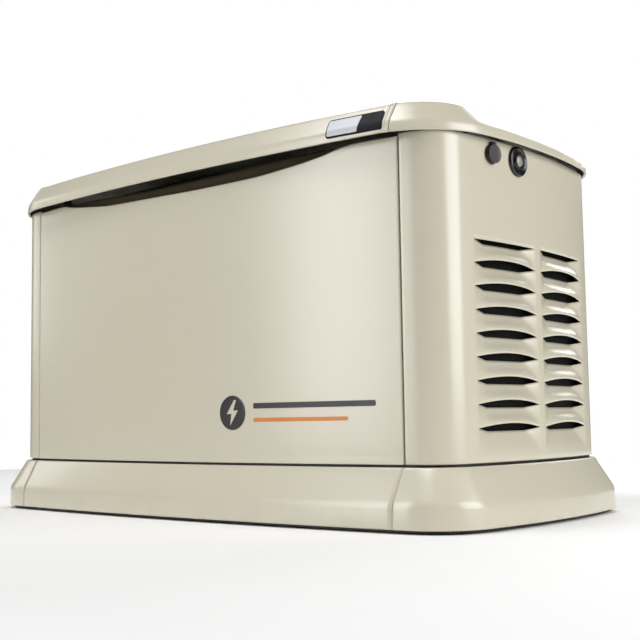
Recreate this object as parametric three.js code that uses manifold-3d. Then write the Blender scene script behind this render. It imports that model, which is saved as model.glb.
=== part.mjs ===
// Home standby generator in a bowed sheet-aluminium enclosure.
// Units: millimetres. +Z up, +X to the right seen from the front, the front faces -Y.
// Origin: centre of the footprint, on the surface that the feet stand on.
import * as THREE from 'three';
import { mergeVertices } from 'three/addons/utils/BufferGeometryUtils.js';
import Module from 'manifold-3d';

const wasm = await Module();
wasm.setup();

// ---------------------------------------------------------------- driving dimensions
const T = 2;                    // sheet thickness
const GAP = 0.3;                // clearance between touching pieces
const Z_SKIRT0 = 6;             // skirt, lower edge
const Z_SKIRT1 = 44.4;          // skirt, where the vertical part ends
const Z_SKIRT2 = 99.5;          // skirt, upper edge
const Z_PANEL0 = 103.3;         // side panels and door, lower edge
const Z_PANEL1 = 627;           // side panels, upper edge
const Z_LIP = 629;              // roof, lower edge of the lip
const Z_LIP1 = 645;             // roof, where the lip turns into the slope
const Z_RIDGE = 681;            // roof, top of the sloped band
const Z_TOP = 735;              // overall height
const X_SEAM = 473;             // seams between the door, the end panels and the roof parts
const X_SKIRT_SEAM = 474.6;     // seams between the skirt pieces
const CRANK_Z = 250;            // height of the crankshaft
const LOUVER_ROWS = 9, LOUVER_TOP = 461.3, LOUVER_PITCH = 37.9, LOUVER_W = 173, LOUVER_Y = 9.1;
const LOCK_Y = -132, LOCK_Z = 605, LAMP_Y = -58, LAMP_Z = 604.4;
const HINGE_X = 300, HINGE_Y = 295.5, HINGE_Z = 622;
const ISO_X = [205, -160], ISO_Y = 78;

// plan outlines: half length A, half depth B, bow of the front bf, bow of the ends be, corner radius r
const BODY = outline(571, 299, 46, 38.5, 71);
const LIP = outline(589, 316, 33, 44, 150);
const RIDGE = outline(553, 294, 33, 24, 105);
const SKIRT_LOW = outline(609.5, 324, 31, 39, 105);
const SKIRT_HIGH = outline(577, 301, 42, 40, 75);

// An outline is made of circular arcs: a bowed front and back, bowed ends and rounded corners.
function outline(A, B, bf, be, r) {
  const Rf = (A * A + bf * bf) / (2 * bf), Re = (B * B + be * be) / (2 * be);
  const c1 = [0, -B + Rf], c2 = [A - Re, 0];
  const R1 = Rf - r, R2 = Re - r;
  const dx = c2[0] - c1[0], dy = c2[1] - c1[1], D = Math.hypot(dx, dy);
  const a = (R1 * R1 - R2 * R2 + D * D) / (2 * D), h = Math.sqrt(R1 * R1 - a * a);
  const m = [c1[0] + a * dx / D, c1[1] + a * dy / D];
  const cand = [[m[0] - h * dy / D, m[1] + h * dx / D], [m[0] + h * dy / D, m[1] - h * dx / D]];
  const P = cand[0][0] - cand[0][1] > cand[1][0] - cand[1][1] ? cand[0] : cand[1];
  const l1 = Math.hypot(P[0] - c1[0], P[1] - c1[1]), l2 = Math.hypot(P[0] - c2[0], P[1] - c2[1]);
  const t1 = [c1[0] + (P[0] - c1[0]) / l1 * Rf, c1[1] + (P[1] - c1[1]) / l1 * Rf];
  const t2 = [c2[0] + (P[0] - c2[0]) / l2 * Re, c2[1] + (P[1] - c2[1]) / l2 * Re];
  return { A, B, Rf, Re, c1, c2, P, r, t1, t2 };
}

// Points {p, n} on the front arc at the given x values (n is the outward normal).
function frontAt(o, x) {
  const s = Math.sign(x), w = Math.abs(x) - o.P[0];
  if (Math.abs(x) > o.t1[0]) {                                   // beyond the tangent point: on the corner arc
    const h = Math.sqrt(o.r * o.r - w * w);
    return { p: [x, o.P[1] - h], n: [s * w / o.r, -h / o.r] };
  }
  const y = o.c1[1] - Math.sqrt(o.Rf * o.Rf - x * x);
  return { p: [x, y], n: [x / o.Rf, (y - o.c1[1]) / o.Rf] };
}
function span(x0, x1, n) {
  return Array.from({ length: n + 1 }, (_, i) => x0 + (x1 - x0) * i / n);
}
function frontPath(o, x0, x1, n) {
  return span(x0, x1, n).map((x) => frontAt(o, x));
}
// Path round the right-hand end, from the front at x = xs to the back at x = xs.
function endPath(o, xs, nf = 1, nc = 4, ne = 3, ys = null) {
  const q = [];
  let b0 = Math.atan2(o.t1[1] - o.P[1], o.t1[0] - o.P[0]);
  const b1 = Math.atan2(o.t2[1] - o.P[1], o.t2[0] - o.P[0]);
  if (xs > o.t1[0]) {                                            // the seam cuts the corner arc
    b0 = -Math.acos((xs - o.P[0]) / o.r);
    nc += nf;
    q.push(frontAt(o, xs));
  } else for (const x of span(xs, o.t1[0], nf)) q.push(frontAt(o, x));
  for (const t of span(b0, b1, nc).slice(1)) q.push({ p: [o.P[0] + o.r * Math.cos(t), o.P[1] + o.r * Math.sin(t)], n: [Math.cos(t), Math.sin(t)] });
  const e0 = Math.atan2(o.t2[1] - o.c2[1], o.t2[0] - o.c2[0]);
  for (const t of ys ? ys.map((y) => Math.asin(y / o.Re)) : span(e0, 0, ne).slice(1)) q.push({ p: [o.c2[0] + o.Re * Math.cos(t), o.c2[1] + o.Re * Math.sin(t)], n: [Math.cos(t), Math.sin(t)] });
  const back = q.slice(0, q[q.length - 1].p[1] === 0 || Math.abs(q[q.length - 1].p[1]) < 1e-9 ? -1 : undefined).reverse().map(({ p, n }) => ({ p: [p[0], -p[1]], n: [n[0], -n[1]] }));
  return [...q, ...back];
}
const off = (q, d) => [q.p[0] + q.n[0] * d, q.p[1] + q.n[1] * d];
function fullLoop(o, d, nf = 4) {
  const right = endPath(o, 0, nf, 4, 3).map((q) => off(q, d));
  const left = right.slice(1, -1).map(([x, y]) => [-x, y]).reverse();
  return [...right, ...left];
}

// ---------------------------------------------------------------- solids
function solid(geometry) {
  const g = geometry.index ? geometry.toNonIndexed() : geometry.clone();
  for (const k of Object.keys(g.attributes)) if (k !== 'position') g.deleteAttribute(k);
  const m = mergeVertices(g, 1e-4);
  const v = m.attributes.position.array;
  const tri = [];
  let vol = 0;
  for (let i = 0; i < m.index.count; i += 3) {
    const [a, b, c] = [0, 1, 2].map((j) => m.index.getX(i + j));
    if (a === b || b === c || a === c) continue;
    tri.push(a, b, c);
    const A = [v[3 * a], v[3 * a + 1], v[3 * a + 2]], B = [v[3 * b], v[3 * b + 1], v[3 * b + 2]], C = [v[3 * c], v[3 * c + 1], v[3 * c + 2]];
    vol += A[0] * (B[1] * C[2] - B[2] * C[1]) + A[1] * (B[2] * C[0] - B[0] * C[2]) + A[2] * (B[0] * C[1] - B[1] * C[0]);
  }
  if (vol < 0) for (let i = 0; i < tri.length; i += 3) [tri[i], tri[i + 1]] = [tri[i + 1], tri[i]];
  return new wasm.Manifold(new wasm.Mesh({ numProp: 3, vertProperties: new Float32Array(v), triVerts: new Uint32Array(tri) }));
}
function box(x0, x1, y0, y1, z0, z1) {
  const g = new THREE.BoxGeometry(x1 - x0, y1 - y0, z1 - z0);
  g.translate((x0 + x1) / 2, (y0 + y1) / 2, (z0 + z1) / 2);
  return solid(g);
}
// cylinder from a to b along one axis ('x', 'y' or 'z')
function cyl(axis, r, a, b, c1 = 0, c2 = 0, seg = 20, r2 = r) {
  const g = new THREE.CylinderGeometry(r2, r, b - a, seg);      // along +Y, radius r at a and r2 at b
  if (axis === 'x') { g.rotateZ(-Math.PI / 2); g.translate((a + b) / 2, c1, c2); }
  if (axis === 'y') g.translate(c1, (a + b) / 2, c2);
  if (axis === 'z') { g.rotateX(Math.PI / 2); g.translate(c1, c2, (a + b) / 2); }
  return solid(g);
}
// revolved profile [[radius, height], ...] closed on itself, about one axis
function lathe(axis, pts, c1 = 0, c2 = 0, seg = 20) {
  const q = [...pts, pts[0]].map(([a, b]) => new THREE.Vector2(a, b));
  const g = new THREE.LatheGeometry(q, seg);                    // about +Y
  if (axis === 'x') { g.rotateZ(-Math.PI / 2); g.translate(0, c1, c2); }
  if (axis === 'y') g.translate(c1, 0, c2);
  if (axis === 'z') { g.rotateX(Math.PI / 2); g.translate(c1, c2, 0); }
  return solid(g);
}
// flat plate from a plan polygon
function plate(poly, z0, z1) {
  const g = new THREE.ExtrudeGeometry(new THREE.Shape(poly.map(([x, y]) => new THREE.Vector2(x, y))), { depth: z1 - z0, bevelEnabled: false, steps: 1, curveSegments: 1 });
  g.translate(0, 0, z0);
  return solid(g);
}
// prism along X from a polygon in Y-Z, and along Y from a polygon in X-Z
function prismX(poly, x0, x1) {
  const g = new THREE.ExtrudeGeometry(new THREE.Shape(poly.map(([y, z]) => new THREE.Vector2(y, z))), { depth: x1 - x0, bevelEnabled: false, steps: 1 });
  g.applyMatrix4(new THREE.Matrix4().set(0, 0, 1, x0, 1, 0, 0, 0, 0, 1, 0, 0, 0, 0, 0, 1));
  return solid(g);
}
// A profile [[x, z, data], ...] swept in steps; place(data, k) gives the world point of each profile corner at step k.
function sweep(profile, steps, place) {
  const key = (x, y) => `${x.toFixed(2)},${y.toFixed(2)}`;
  const map = new Map(profile.map((p) => [key(p[0], p[1]), p[2]]));
  const g = new THREE.ExtrudeGeometry(new THREE.Shape(profile.map((p) => new THREE.Vector2(p[0], p[1]))), { depth: steps, steps, bevelEnabled: false, curveSegments: 1 });
  const a = g.attributes.position;
  for (let i = 0; i < a.count; i++) {
    const w = place(map.get(key(a.getX(i), a.getY(i))), Math.round(a.getZ(i)));
    a.setXYZ(i, w[0], w[1], w[2]);
  }
  return solid(g);
}
function tube(points, r, seg = 10, steps = 16) {
  const curve = new THREE.CatmullRomCurve3(points.map((p) => new THREE.Vector3(...p)), false, 'catmullrom', 0.5);
  const s = new THREE.Shape(Array.from({ length: seg }, (_, i) => new THREE.Vector2(r * Math.cos(2 * Math.PI * i / seg), r * Math.sin(2 * Math.PI * i / seg))));
  return solid(new THREE.ExtrudeGeometry(s, { extrudePath: curve, steps, bevelEnabled: false }));
}
const mirrorX = (m) => m.mirror([1, 0, 0]);
const union = (...list) => list.reduce((a, b) => a.add(b));

// A wall of sheet along a path, with its ends returned inwards.
function wall(path, z0, z1, t = T, ret = 12) {
  const n = path.length - 1, a = path[0], b = path[n];
  const ta = [-a.n[1], a.n[0]], tb = [-b.n[1], b.n[0]];         // tangents along the path
  const outer = path.map((q) => q.p), inner = path.slice(1, -1).reverse().map((q) => off(q, -t));
  const bi = off(b, -ret), bj = [bi[0] - tb[0] * t, bi[1] - tb[1] * t], bk = off(b, -t);
  const ai = off(a, -ret), aj = [ai[0] + ta[0] * t, ai[1] + ta[1] * t], ak = off(a, -t);
  return plate([...outer, bi, bj, [bk[0] - tb[0] * t, bk[1] - tb[1] * t], ...inner, [ak[0] + ta[0] * t, ak[1] + ta[1] * t], aj, ai], z0, z1);
}
// A flat flange along a path, from offset d0 to offset d1.
function flange(path, d0, d1, z0, z1) {
  return plate([...path.map((q) => off(q, d0)), ...path.slice().reverse().map((q) => off(q, d1))], z0, z1);
}

// ---------------------------------------------------------------- materials
const mat = (color, roughness = 0.6, metalness = 0) => new THREE.MeshStandardMaterial({ color, roughness, metalness });
const M = {
  shell: mat(0xcfc8b0, 0.45, 0.1), black: mat(0x17171a, 0.6), galv: mat(0xa9adb0, 0.4, 0.9), alu: mat(0xb4b6b8, 0.45, 0.9),
  iron: mat(0x3b3d40, 0.6, 0.6), steel: mat(0x9a9da0, 0.35, 1), plastic: mat(0x1d1d1f, 0.5), grey: mat(0x5a5c60, 0.55), lens: mat(0xd8dade, 0.3),
  rubber: mat(0x1a1a1a, 0.9), engine: mat(0x2a2b2d, 0.55, 0.3), copper: mat(0xa0653c, 0.4, 0.8), yellow: mat(0xe0b020, 0.5), orange: mat(0xc96a2a, 0.5),
};

const root = new THREE.Group();
function put(name, manifold, material, parent = root) {
  const m = manifold.getMesh();
  const g = new THREE.BufferGeometry();
  const v = new Float32Array(m.numVert * 3);
  for (let i = 0; i < m.numVert; i++) for (let k = 0; k < 3; k++) v[3 * i + k] = m.vertProperties[i * m.numProp + k];
  g.setAttribute('position', new THREE.BufferAttribute(v, 3));
  g.setIndex(new THREE.BufferAttribute(new Uint32Array(m.triVerts), 1));
  g.computeVertexNormals();
  const mesh = new THREE.Mesh(g, material);
  mesh.name = name;
  parent.add(mesh);
  return mesh;
}

// ---------------------------------------------------------------- base frame
{
  const pan = plate(fullLoop(SKIRT_LOW, -8), 2.7, 5.7);
  const riser = plate(fullLoop(BODY, -4), 5.0, 102.9).subtract(plate(fullLoop(BODY, -7), 5.7, 110));
  let b = union(pan, riser);
  for (const x of ISO_X) b = b.add(box(x - 30, x + 30, -250, 250, 5, 60).subtract(box(x - 27, x + 27, -260, 260, 5.7, 57)));
  for (const sx of [-1, 1]) for (const sy of [-1, 1]) {
    const x0 = sx > 0 ? 455 : -560, y0 = sy > 0 ? 205 : -285;
    b = b.add(box(x0, x0 + 105, y0, y0 + 80, 0, 4).intersect(plate(fullLoop(SKIRT_LOW, -12), -1, 5)));
  }
  put('base_frame', b, M.black);
}

// ---------------------------------------------------------------- skirt
// cross-section corners: [drawn x, drawn z, [outline, offset]]
const SKIRT = [
  [0, Z_SKIRT0, ['low', 0]], [-1.6, Z_SKIRT1, ['low', -1.6]], [-28, Z_SKIRT2, ['high', 0]],
  [-38, Z_SKIRT2, ['body', -3.5]], [-38, Z_SKIRT2 - 2, ['body', -3.5]], [-31, Z_SKIRT2 - 2, ['high', -2.6]],
  [-4, Z_SKIRT1 - 1, ['low', -3.8]], [-2.1, Z_SKIRT0 + 2, ['low', -2]], [-20, Z_SKIRT0 + 2, ['low', -20]], [-20, Z_SKIRT0, ['low', -20]],
];
function skirt(paths) {
  return sweep(SKIRT.map(([x, z, d]) => [x, z, [...d, z]]), paths.low.length - 1, ([o, d, z], k) => [...off(paths[o][k], d), z]);
}
{
  const xf = X_SKIRT_SEAM - 0.6;
  const front = skirt({ low: frontPath(SKIRT_LOW, -xf, xf, 8), high: frontPath(SKIRT_HIGH, -xf, xf, 8), body: frontPath(BODY, -xf, xf, 8) });
  put('skirt_front', front, M.shell);
  put('skirt_rear', front.mirror([0, 1, 0]), M.shell);
  const xe = X_SKIRT_SEAM;
  const end = skirt({ low: endPath(SKIRT_LOW, xe), high: endPath(SKIRT_HIGH, xe), body: endPath(BODY, xe) });
  put('skirt_right', end, M.shell);
  put('skirt_left', mirrorX(end), M.shell);
}

// ---------------------------------------------------------------- end panels
const bodyEndX = (y) => BODY.c2[0] + Math.sqrt(BODY.Re * BODY.Re - y * y);
function louvers(panel) {
  let cut = null, blades = null;
  const add = (a, b) => (a ? a.add(b) : b);
  for (const [y0, y1] of [[-LOUVER_Y - LOUVER_W, -LOUVER_Y], [LOUVER_Y, LOUVER_Y + LOUVER_W]]) {
    const path = span(y0 + 0.3, y1 - 0.3, 1).map((y) => { const x = bodyEndX(y); return { p: [x, y], n: [(x - BODY.c2[0]) / BODY.Re, y / BODY.Re] }; });
    for (let i = 0; i < LOUVER_ROWS; i++) {
      const z = LOUVER_TOP - i * LOUVER_PITCH;
      cut = add(cut, box(530, 585, y0, y1, z - 28, z));
      const prof = [[-9, z - 8], [2.6, z - 30], [0.2, z - 30.5], [-11, z - 9.5]];
      blades = add(blades, sweep(prof.map(([d, h]) => [d, h, [d, h]]), 1, ([d, h], k) => [...off(path[k], d), h]));
    }
  }
  return panel.subtract(cut).add(blades);
}
const lockAngle = Math.asin(LOCK_Y / BODY.Re), lampAngle = Math.asin(LAMP_Y / BODY.Re);
// put a solid made about the local +X axis on the right-hand end, at the given height along the bowed face
function onEnd(m, y, z) {
  const a = Math.asin(y / BODY.Re);
  return m.rotate([0, 0, a * 180 / Math.PI]).translate([bodyEndX(y), y, z]);
}
{
  const path = endPath(BODY, X_SEAM + 0.6, 1, 4, 3, [-182.6, -95.8, -9]);
  const shell = union(wall(path, Z_PANEL0, Z_PANEL1), flange(path, 0, -12, Z_PANEL0, Z_PANEL0 + T), flange(path, 0, -12, Z_PANEL1 - T, Z_PANEL1));
  const vented = louvers(shell);
  const lockHole = onEnd(cyl('x', 12.4, -15, 15, 0, 0, 20), LOCK_Y, LOCK_Z);
  const lampHole = onEnd(cyl('x', 18.4, -12, 12, 0, 0, 24), LAMP_Y, LAMP_Z);
  put('right_end_panel', vented.subtract(lockHole).subtract(lampHole), M.shell);
  put('left_end_panel', mirrorX(vented.subtract(lockHole)), M.shell);
}

// ---------------------------------------------------------------- back panel
const FUEL_X = 235, FUEL_Z = 150;
{
  const path = frontPath(BODY, -X_SEAM, X_SEAM, 8);
  const p = union(wall(path, Z_PANEL0, Z_PANEL1), flange(path, 0, -12, Z_PANEL0, Z_PANEL0 + T), flange(path, 0, -12, Z_PANEL1 - T, Z_PANEL1)).mirror([0, 1, 0]);
  put('back_panel', p.subtract(cyl('y', 15, 250, 330, FUEL_X, FUEL_Z, 16)), M.shell);
}

// ---------------------------------------------------------------- front door with its hand grip
{
  const path = frontPath(BODY, -X_SEAM + 0.6, X_SEAM - 0.6, 12);
  const zTop = 628;
  const skin = union(wall(path, Z_PANEL0, zTop), flange(path, 0, -12, Z_PANEL0, Z_PANEL0 + T));
  // the scallop in the top edge
  const arc = [];
  for (const x of span(-345, 395, 16)) arc.push([x, 598.5 + 31 * Math.pow(Math.abs((x - 25) / 370), 3)]);
  const cutShape = new THREE.ExtrudeGeometry(new THREE.Shape([...arc, [395, 640], [-345, 640]].map(([x, z]) => new THREE.Vector2(x, z))), { depth: 60, bevelEnabled: false, steps: 1 });
  cutShape.applyMatrix4(new THREE.Matrix4().set(1, 0, 0, 0, 0, 0, 1, -310, 0, 1, 0, 0, 0, 0, 0, 1));
  const cut = solid(cutShape).intersect(flange(path, 2, -3, 560, 650));
  // the trough behind the grip: a floor that follows the scallop and a back wall
  const inner = frontPath(BODY, -400, 440, 10);
  const trough = union(flange(inner, -1, -27, 588, 590), flange(inner, -25, -27, 588, zTop));
  put('front_door', skin.subtract(cut).add(trough), M.shell);
}

// ---------------------------------------------------------------- inner frame and divider
{
  const z0 = 600, z1 = 620, X = 505, Y = 232, W = 20;
  let f = box(-X, X, -Y, Y, z0, z1).subtract(box(-X + W, X - W, -Y + W, Y - W, z0 - 5, z1 + 5));
  for (const sx of [-1, 1]) for (const sy of [-1, 1]) {
    const x0 = sx > 0 ? X - W : -X, y0 = sy > 0 ? Y - W : -Y;
    f = f.add(box(x0, x0 + W, y0, y0 + W, 6, z0 + 1));
  }
  put('enclosure_frame', f, M.galv);
  const holes = union(cyl('x', 23, -340, -320, -165, 405, 16), cyl('x', 23, -340, -320, 165, 405, 16));
  put('divider_panel', box(-331, -329, -231, 231, 6, 599.6).subtract(holes), M.galv);
}

// ---------------------------------------------------------------- roof
const crown = (x) => (Z_TOP - Z_RIDGE) * (1 - Math.pow(x / 640, 2));
// levels of the outer skin from the lip to the middle: [outline, offset, base height, share of the crown, position 0 = outline, 1 = middle]
const LEVELS = [['lip', 0, Z_LIP, 0, 0], ['lip', -1, Z_LIP1, 0, 0], ['ridge', 0, Z_RIDGE, 0, 0], ['ridge', 0, Z_RIDGE, 0.36, 0.22], ['ridge', 0, Z_RIDGE, 0.72, 0.52], ['ridge', 0, Z_RIDGE, 1, 1]];
const INNER = [['lip', -2.6, Z_LIP, 0, 0], ['lip', -3.6, Z_LIP1 - 1, 0, 0], ['ridge', -2, Z_RIDGE - 2.6, 0, 0], ['ridge', -2, Z_RIDGE - 2.6, 0.36, 0.22], ['ridge', -2, Z_RIDGE - 2.6, 0.72, 0.52], ['ridge', -2, Z_RIDGE - 2.6, 1, 1]];
function roofPoint(paths, k, [o, d, z, c, s], mid, h) {
  const [x, y] = off(paths[o][k], d);
  return [x + (mid[0] - x) * s, y + (mid[1] - y) * s, z + c * h];
}
{
  // middle part: the cross-section runs from the front lip over the top to the back lip
  const X = X_SEAM - 0.4, n = 8;
  const paths = { lip: frontPath(LIP, -X, X, n), ridge: frontPath(RIDGE, -X, X, n) };
  const prof = [];
  LEVELS.forEach((l, i) => prof.push([-300 + i * 50, 100 + i * 10, [l, 1]]));
  LEVELS.slice(0, -1).reverse().forEach((l, i) => prof.push([i * 50, 140 - i * 10, [l, -1]]));
  INNER.slice(0, -1).forEach((l, i) => prof.push([205 - i * 50 - 10, 95 + i * 10 - 1, [l, -1]]));
  prof.push([-50, 142, [INNER[5], 1]]);
  INNER.slice(0, -1).reverse().forEach((l, i) => prof.push([-100 - i * 50 + 8, 131 - i * 10, [l, 1]]));
  const centre = sweep(prof, n, ([l, side], k) => {
    const x = paths.lip[k].p[0];
    const w = roofPoint(paths, k, l, [x, 0], crown(x));
    return [x, side * w[1], w[2]];
  });
  put('roof_center', centre, M.shell);

  // end cap: the half section runs from the lip to a point on the middle line of the seam
  const xe = X_SEAM + 0.4;
  const pe = { lip: endPath(LIP, xe, 1, 7, 4), ridge: endPath(RIDGE, xe, 1, 7, 4) };
  const prof2 = [];
  LEVELS.forEach((l, i) => prof2.push([i * 50, 100 + i * 10, l]));
  INNER.slice().reverse().forEach((l, i) => prof2.push([250 - i * 50 + (i ? 8 : 0), 147 - i * 10 - (i ? 6 : 0), l]));
  const at = (l, k) => {
    const w = roofPoint(pe, k, l, [xe, 0], crown(xe));
    if (l[4] === 0 && (k === 0 || k === pe.lip.length - 1)) w[0] = xe;
    return w;
  };
  // a stiffening rib under the skin, let 0.8 mm into it
  const into = [...INNER.map(([o, d, z, c, p], i) => [i * 50, 100 + i * 10, [o, d + 0.8, z + 0.8, c, p]]), [260, 50, ['lip', -6, 560, 0, 1]], [-5, 40, ['lip', -6, 560, 0, 0]]];
  const rib = box(527, 530, 126, 166, 640, 720).intersect(sweep(into, pe.lip.length - 1, at));
  const cap = union(sweep(prof2, pe.lip.length - 1, at), rib);
  put('roof_end_right', cap, M.shell);
  put('roof_end_left', mirrorX(cap), M.shell);
  // catch for the cam of the lock: a bent plate under the cap, its top edge trimmed to the space below the skin
  const under = [...INNER.map(([o, d, z, c, p], i) => [i * 50, 100 + i * 10, [o, d - 0.4, z - 0.4, c, p]]), [260, 50, ['lip', -6, 560, 0, 1]], [-5, 40, ['lip', -6, 560, 0, 0]]];
  const space = sweep(under, pe.lip.length - 1, at);
  const bracket = union(box(527, 530, -166, -146, 590, 720), box(527, 545, -166, -146, 590, 593)).intersect(space);
  put('roof_catch_right', bracket, M.galv);
  put('roof_catch_left', mirrorX(bracket), M.galv);
}

// ---------------------------------------------------------------- roof hinges
for (const s of [-1, 1]) {
  const side = s < 0 ? 'left' : 'right', x = s * HINGE_X;
  const fixed = union(
    box(x - 25, x + 25, 288.8, 290.6, 590, 616),
    box(x - 25, x - 17, 288.8, 297, 610, 622), box(x + 17, x + 25, 288.8, 297, 610, 622),
    cyl('x', 4.2, x - 25, x - 17, HINGE_Y, HINGE_Z, 12), cyl('x', 4.2, x + 17, x + 25, HINGE_Y, HINGE_Z, 12),
    cyl('x', 2.3, x - 20, x + 20, HINGE_Y, HINGE_Z, 12));
  put('hinge_' + side, fixed, M.galv);
  const leaf = union(cyl('x', 4.5, x - 15, x + 15, HINGE_Y, HINGE_Z, 16), box(x - 12.5, x + 12.5, HINGE_Y, 302.8, 620.2, 624.5), box(x - 12.5, x + 12.5, 300.8, 302.8, 620.2, 642))
    .subtract(cyl('x', 2.65, x - 30, x + 30, HINGE_Y, HINGE_Z, 12));
  put('lid_hinge_' + side, leaf, M.galv);
}

// ---------------------------------------------------------------- locks and status lamp
for (const s of [-1, 1]) {
  const side = s < 0 ? 'left' : 'right';
  const flip = (m) => (s < 0 ? mirrorX(m) : m);
  const housing = lathe('x', [[9.3, 3.6], [16.5, 3.6], [16.5, 0.35], [12, 0.35], [12, -20], [9.3, -20]], 0, 0, 20);
  const lugs = union(box(0.4, 3.6, -5.5, 5.5, 13, 20.2), box(3.5, 8, -5.5, -3.4, 16, 20.2), box(3.5, 8, 3.4, 5.5, 16, 20.2), cyl('y', 1.1, -5, 5, 6.2, 18.2, 8));
  put('lock_' + side + '_housing', flip(onEnd(union(housing, lugs), LOCK_Y, LOCK_Z)), M.plastic);
  const key = box(-1, 3, -1, 1, -4, 4);
  const cam = union(box(-27, -23.5, -6, 6, -5, 22), cyl('x', 9, -27, 3, 0, 0, 20)).subtract(key);
  put('lock_' + side + '_cylinder', flip(onEnd(cam, LOCK_Y, LOCK_Z)), M.steel);
  const cover = union(cyl('x', 16, 4, 6.2, 0, 0, 20), cyl('y', 2.1, -3, 3, 6.2, 18.2, 10), box(4, 6.2, -3, 3, 12, 17.5))
    .subtract(cyl('y', 1.4, -8, 8, 6.2, 18.2, 8));
  put('lock_' + side + '_cover', flip(onEnd(cover, LOCK_Y, LOCK_Z)), M.plastic);
}
{
  const bezel = lathe('x', [[10.4, 1], [15, 1.5], [16, 5], [18.5, 6.2], [22.5, 5.6], [26, 3.4], [26, 0.35], [18, 0.35], [18, -20], [10.4, -20]], 0, 0, 20);
  put('status_lamp_bezel', onEnd(bezel, LAMP_Y, LAMP_Z), M.plastic);
  const lens = lathe('x', [[0, -16], [10, -16], [10, 2], [8.5, 4], [5, 5.3], [0, 5.8]], 0, 0, 20);
  put('status_lamp_lens', onEnd(lens, LAMP_Y, LAMP_Z), M.lens);
}

// ---------------------------------------------------------------- engine, turning parts and alternator
const CZ = CRANK_Z;
{
  // crankcase with feet, a bore for the shaft and the dipstick tube
  let c = union(box(60, 248, -92, 92, 112, 325), box(70, 240, -100, 100, 100.3, 135), cyl('x', 62, 50, 60.5, 0, CZ, 20),
    cyl('z', 7, 130, 395, 72, -96, 12));
  c = c.subtract(cyl('x', 18.4, 40, 260, 0, CZ, 16)).subtract(cyl('z', 4.3, 140, 400, 72, -96, 10));
  put('crankcase', c, M.engine);
  const rod = union(cyl('z', 3, 150, 397, 72, -96, 8), cyl('z', 10, 395.4, 403, 72, -96, 12),
    lathe('y', [[9, -2.5], [14, -2.5], [14, 2.5], [9, 2.5]], 72, 415, 14).translate([0, -96, 0]));
  put('dipstick', rod, M.yellow);

  for (const s of [-1, 1]) {
    const side = s < 0 ? 'front' : 'rear', x = s < 0 ? 170 : 136;
    const tilt = (m) => m.rotate([-s * 45, 0, 0]).translate([x, 0, CZ]);
    let b = box(-44, 44, -44, 44, 116, 190);
    for (let i = 0; i < 7; i++) b = b.add(box(-58, 58, -58, 58, 124 + i * 9.5, 128 + i * 9.5));
    b = b.add(box(-60, 60, -60, 60, 190, 240));
    const hollow = box(-200, 300, -92.3, 92.3, 90, 325.3);
    put('cylinder_' + side, tilt(b).subtract(hollow), M.alu);
    const vc = union(box(-54, 54, -50, 50, 240.3, 262), box(-48, 48, -44, 44, 261, 270));
    put('valve_cover_' + side, tilt(vc), M.black);
  }
  // blower housing: a can with a cooling-air opening, round the flywheel
  put('blower_housing', lathe('x', [[30, 250.5], [150, 250.5], [150, 312], [92, 312], [92, 309], [147, 309], [147, 253.5], [30, 253.5]], 0, CZ, 20), M.plastic);
  let fly = lathe('x', [[18.4, 262], [122, 262], [122, 270], [45, 270], [40, 292], [18.4, 292]], 0, CZ, 20);
  for (let i = 0; i < 10; i++) fly = fly.add(box(269, 296, -2, 2, 62, 118).rotate([i * 36, 0, 0]).translate([0, 0, CZ]));
  put('flywheel_fan', fly, M.iron);
  put('crankshaft', union(cyl('x', 18, -198, 300, 0, CZ, 16), cyl('x', 24, 292.4, 300, 0, CZ, 16)), M.steel);

  // alternator: housing with a foot, open at the fan end, and the rotor inside
  const can = lathe('x', [[30, 41], [104, 41], [104, -200], [60, -200], [60, -204], [122, -204], [122, 49.6], [30, 49.6]], 0, CZ, 24);
  put('alternator_housing', union(can, box(-190, -130, -98, 98, 100.3, 160)).subtract(cyl('x', 104, -200, 41, 0, CZ, 24)), M.engine);
  let rot = lathe('x', [[18.4, -150], [90, -150], [90, 10], [60, 22], [18.4, 22]], 0, CZ, 18);
  rot = rot.add(lathe('x', [[18.4, -192], [52, -192], [52, -186], [40, -149], [18.4, -149]], 0, CZ, 18));
  for (let i = 0; i < 6; i++) rot = rot.add(box(-190, -168, -2, 2, 30, 92).rotate([i * 60, 0, 0]).translate([0, 0, CZ]));
  put('alternator_rotor', rot, M.copper);

  // starter, oil filter
  put('starter_motor', union(cyl('x', 32, 152, 248, -130, 200, 16), cyl('x', 14, 160, 240, -130, 240, 12), box(160, 240, -135, -125, 225, 232), box(170, 230, -105, -92.4, 190, 210)), M.black);
  put('oil_filter', union(cyl('y', 36, -182, -104, 104, 165, 20), cyl('y', 24, -105, -92.4, 104, 165, 20)), M.orange);

  // isolators: two rubber feet on one strap, a pair under the engine and a pair under the alternator
  ['engine', 'alternator'].forEach((name, i) => {
    const x = ISO_X[i];
    const foot = (y) => lathe('z', [[0, 60.3], [22, 60.3], [22, 66], [17, 72], [17, 88], [22, 94], [22, 100], [0, 100]], x, y, 10);
    put(name + '_isolators', union(foot(-ISO_Y), foot(ISO_Y), box(x - 14, x + 14, -ISO_Y - 14, ISO_Y + 14, 60.3, 63.3)), M.rubber);
  });
}

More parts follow.
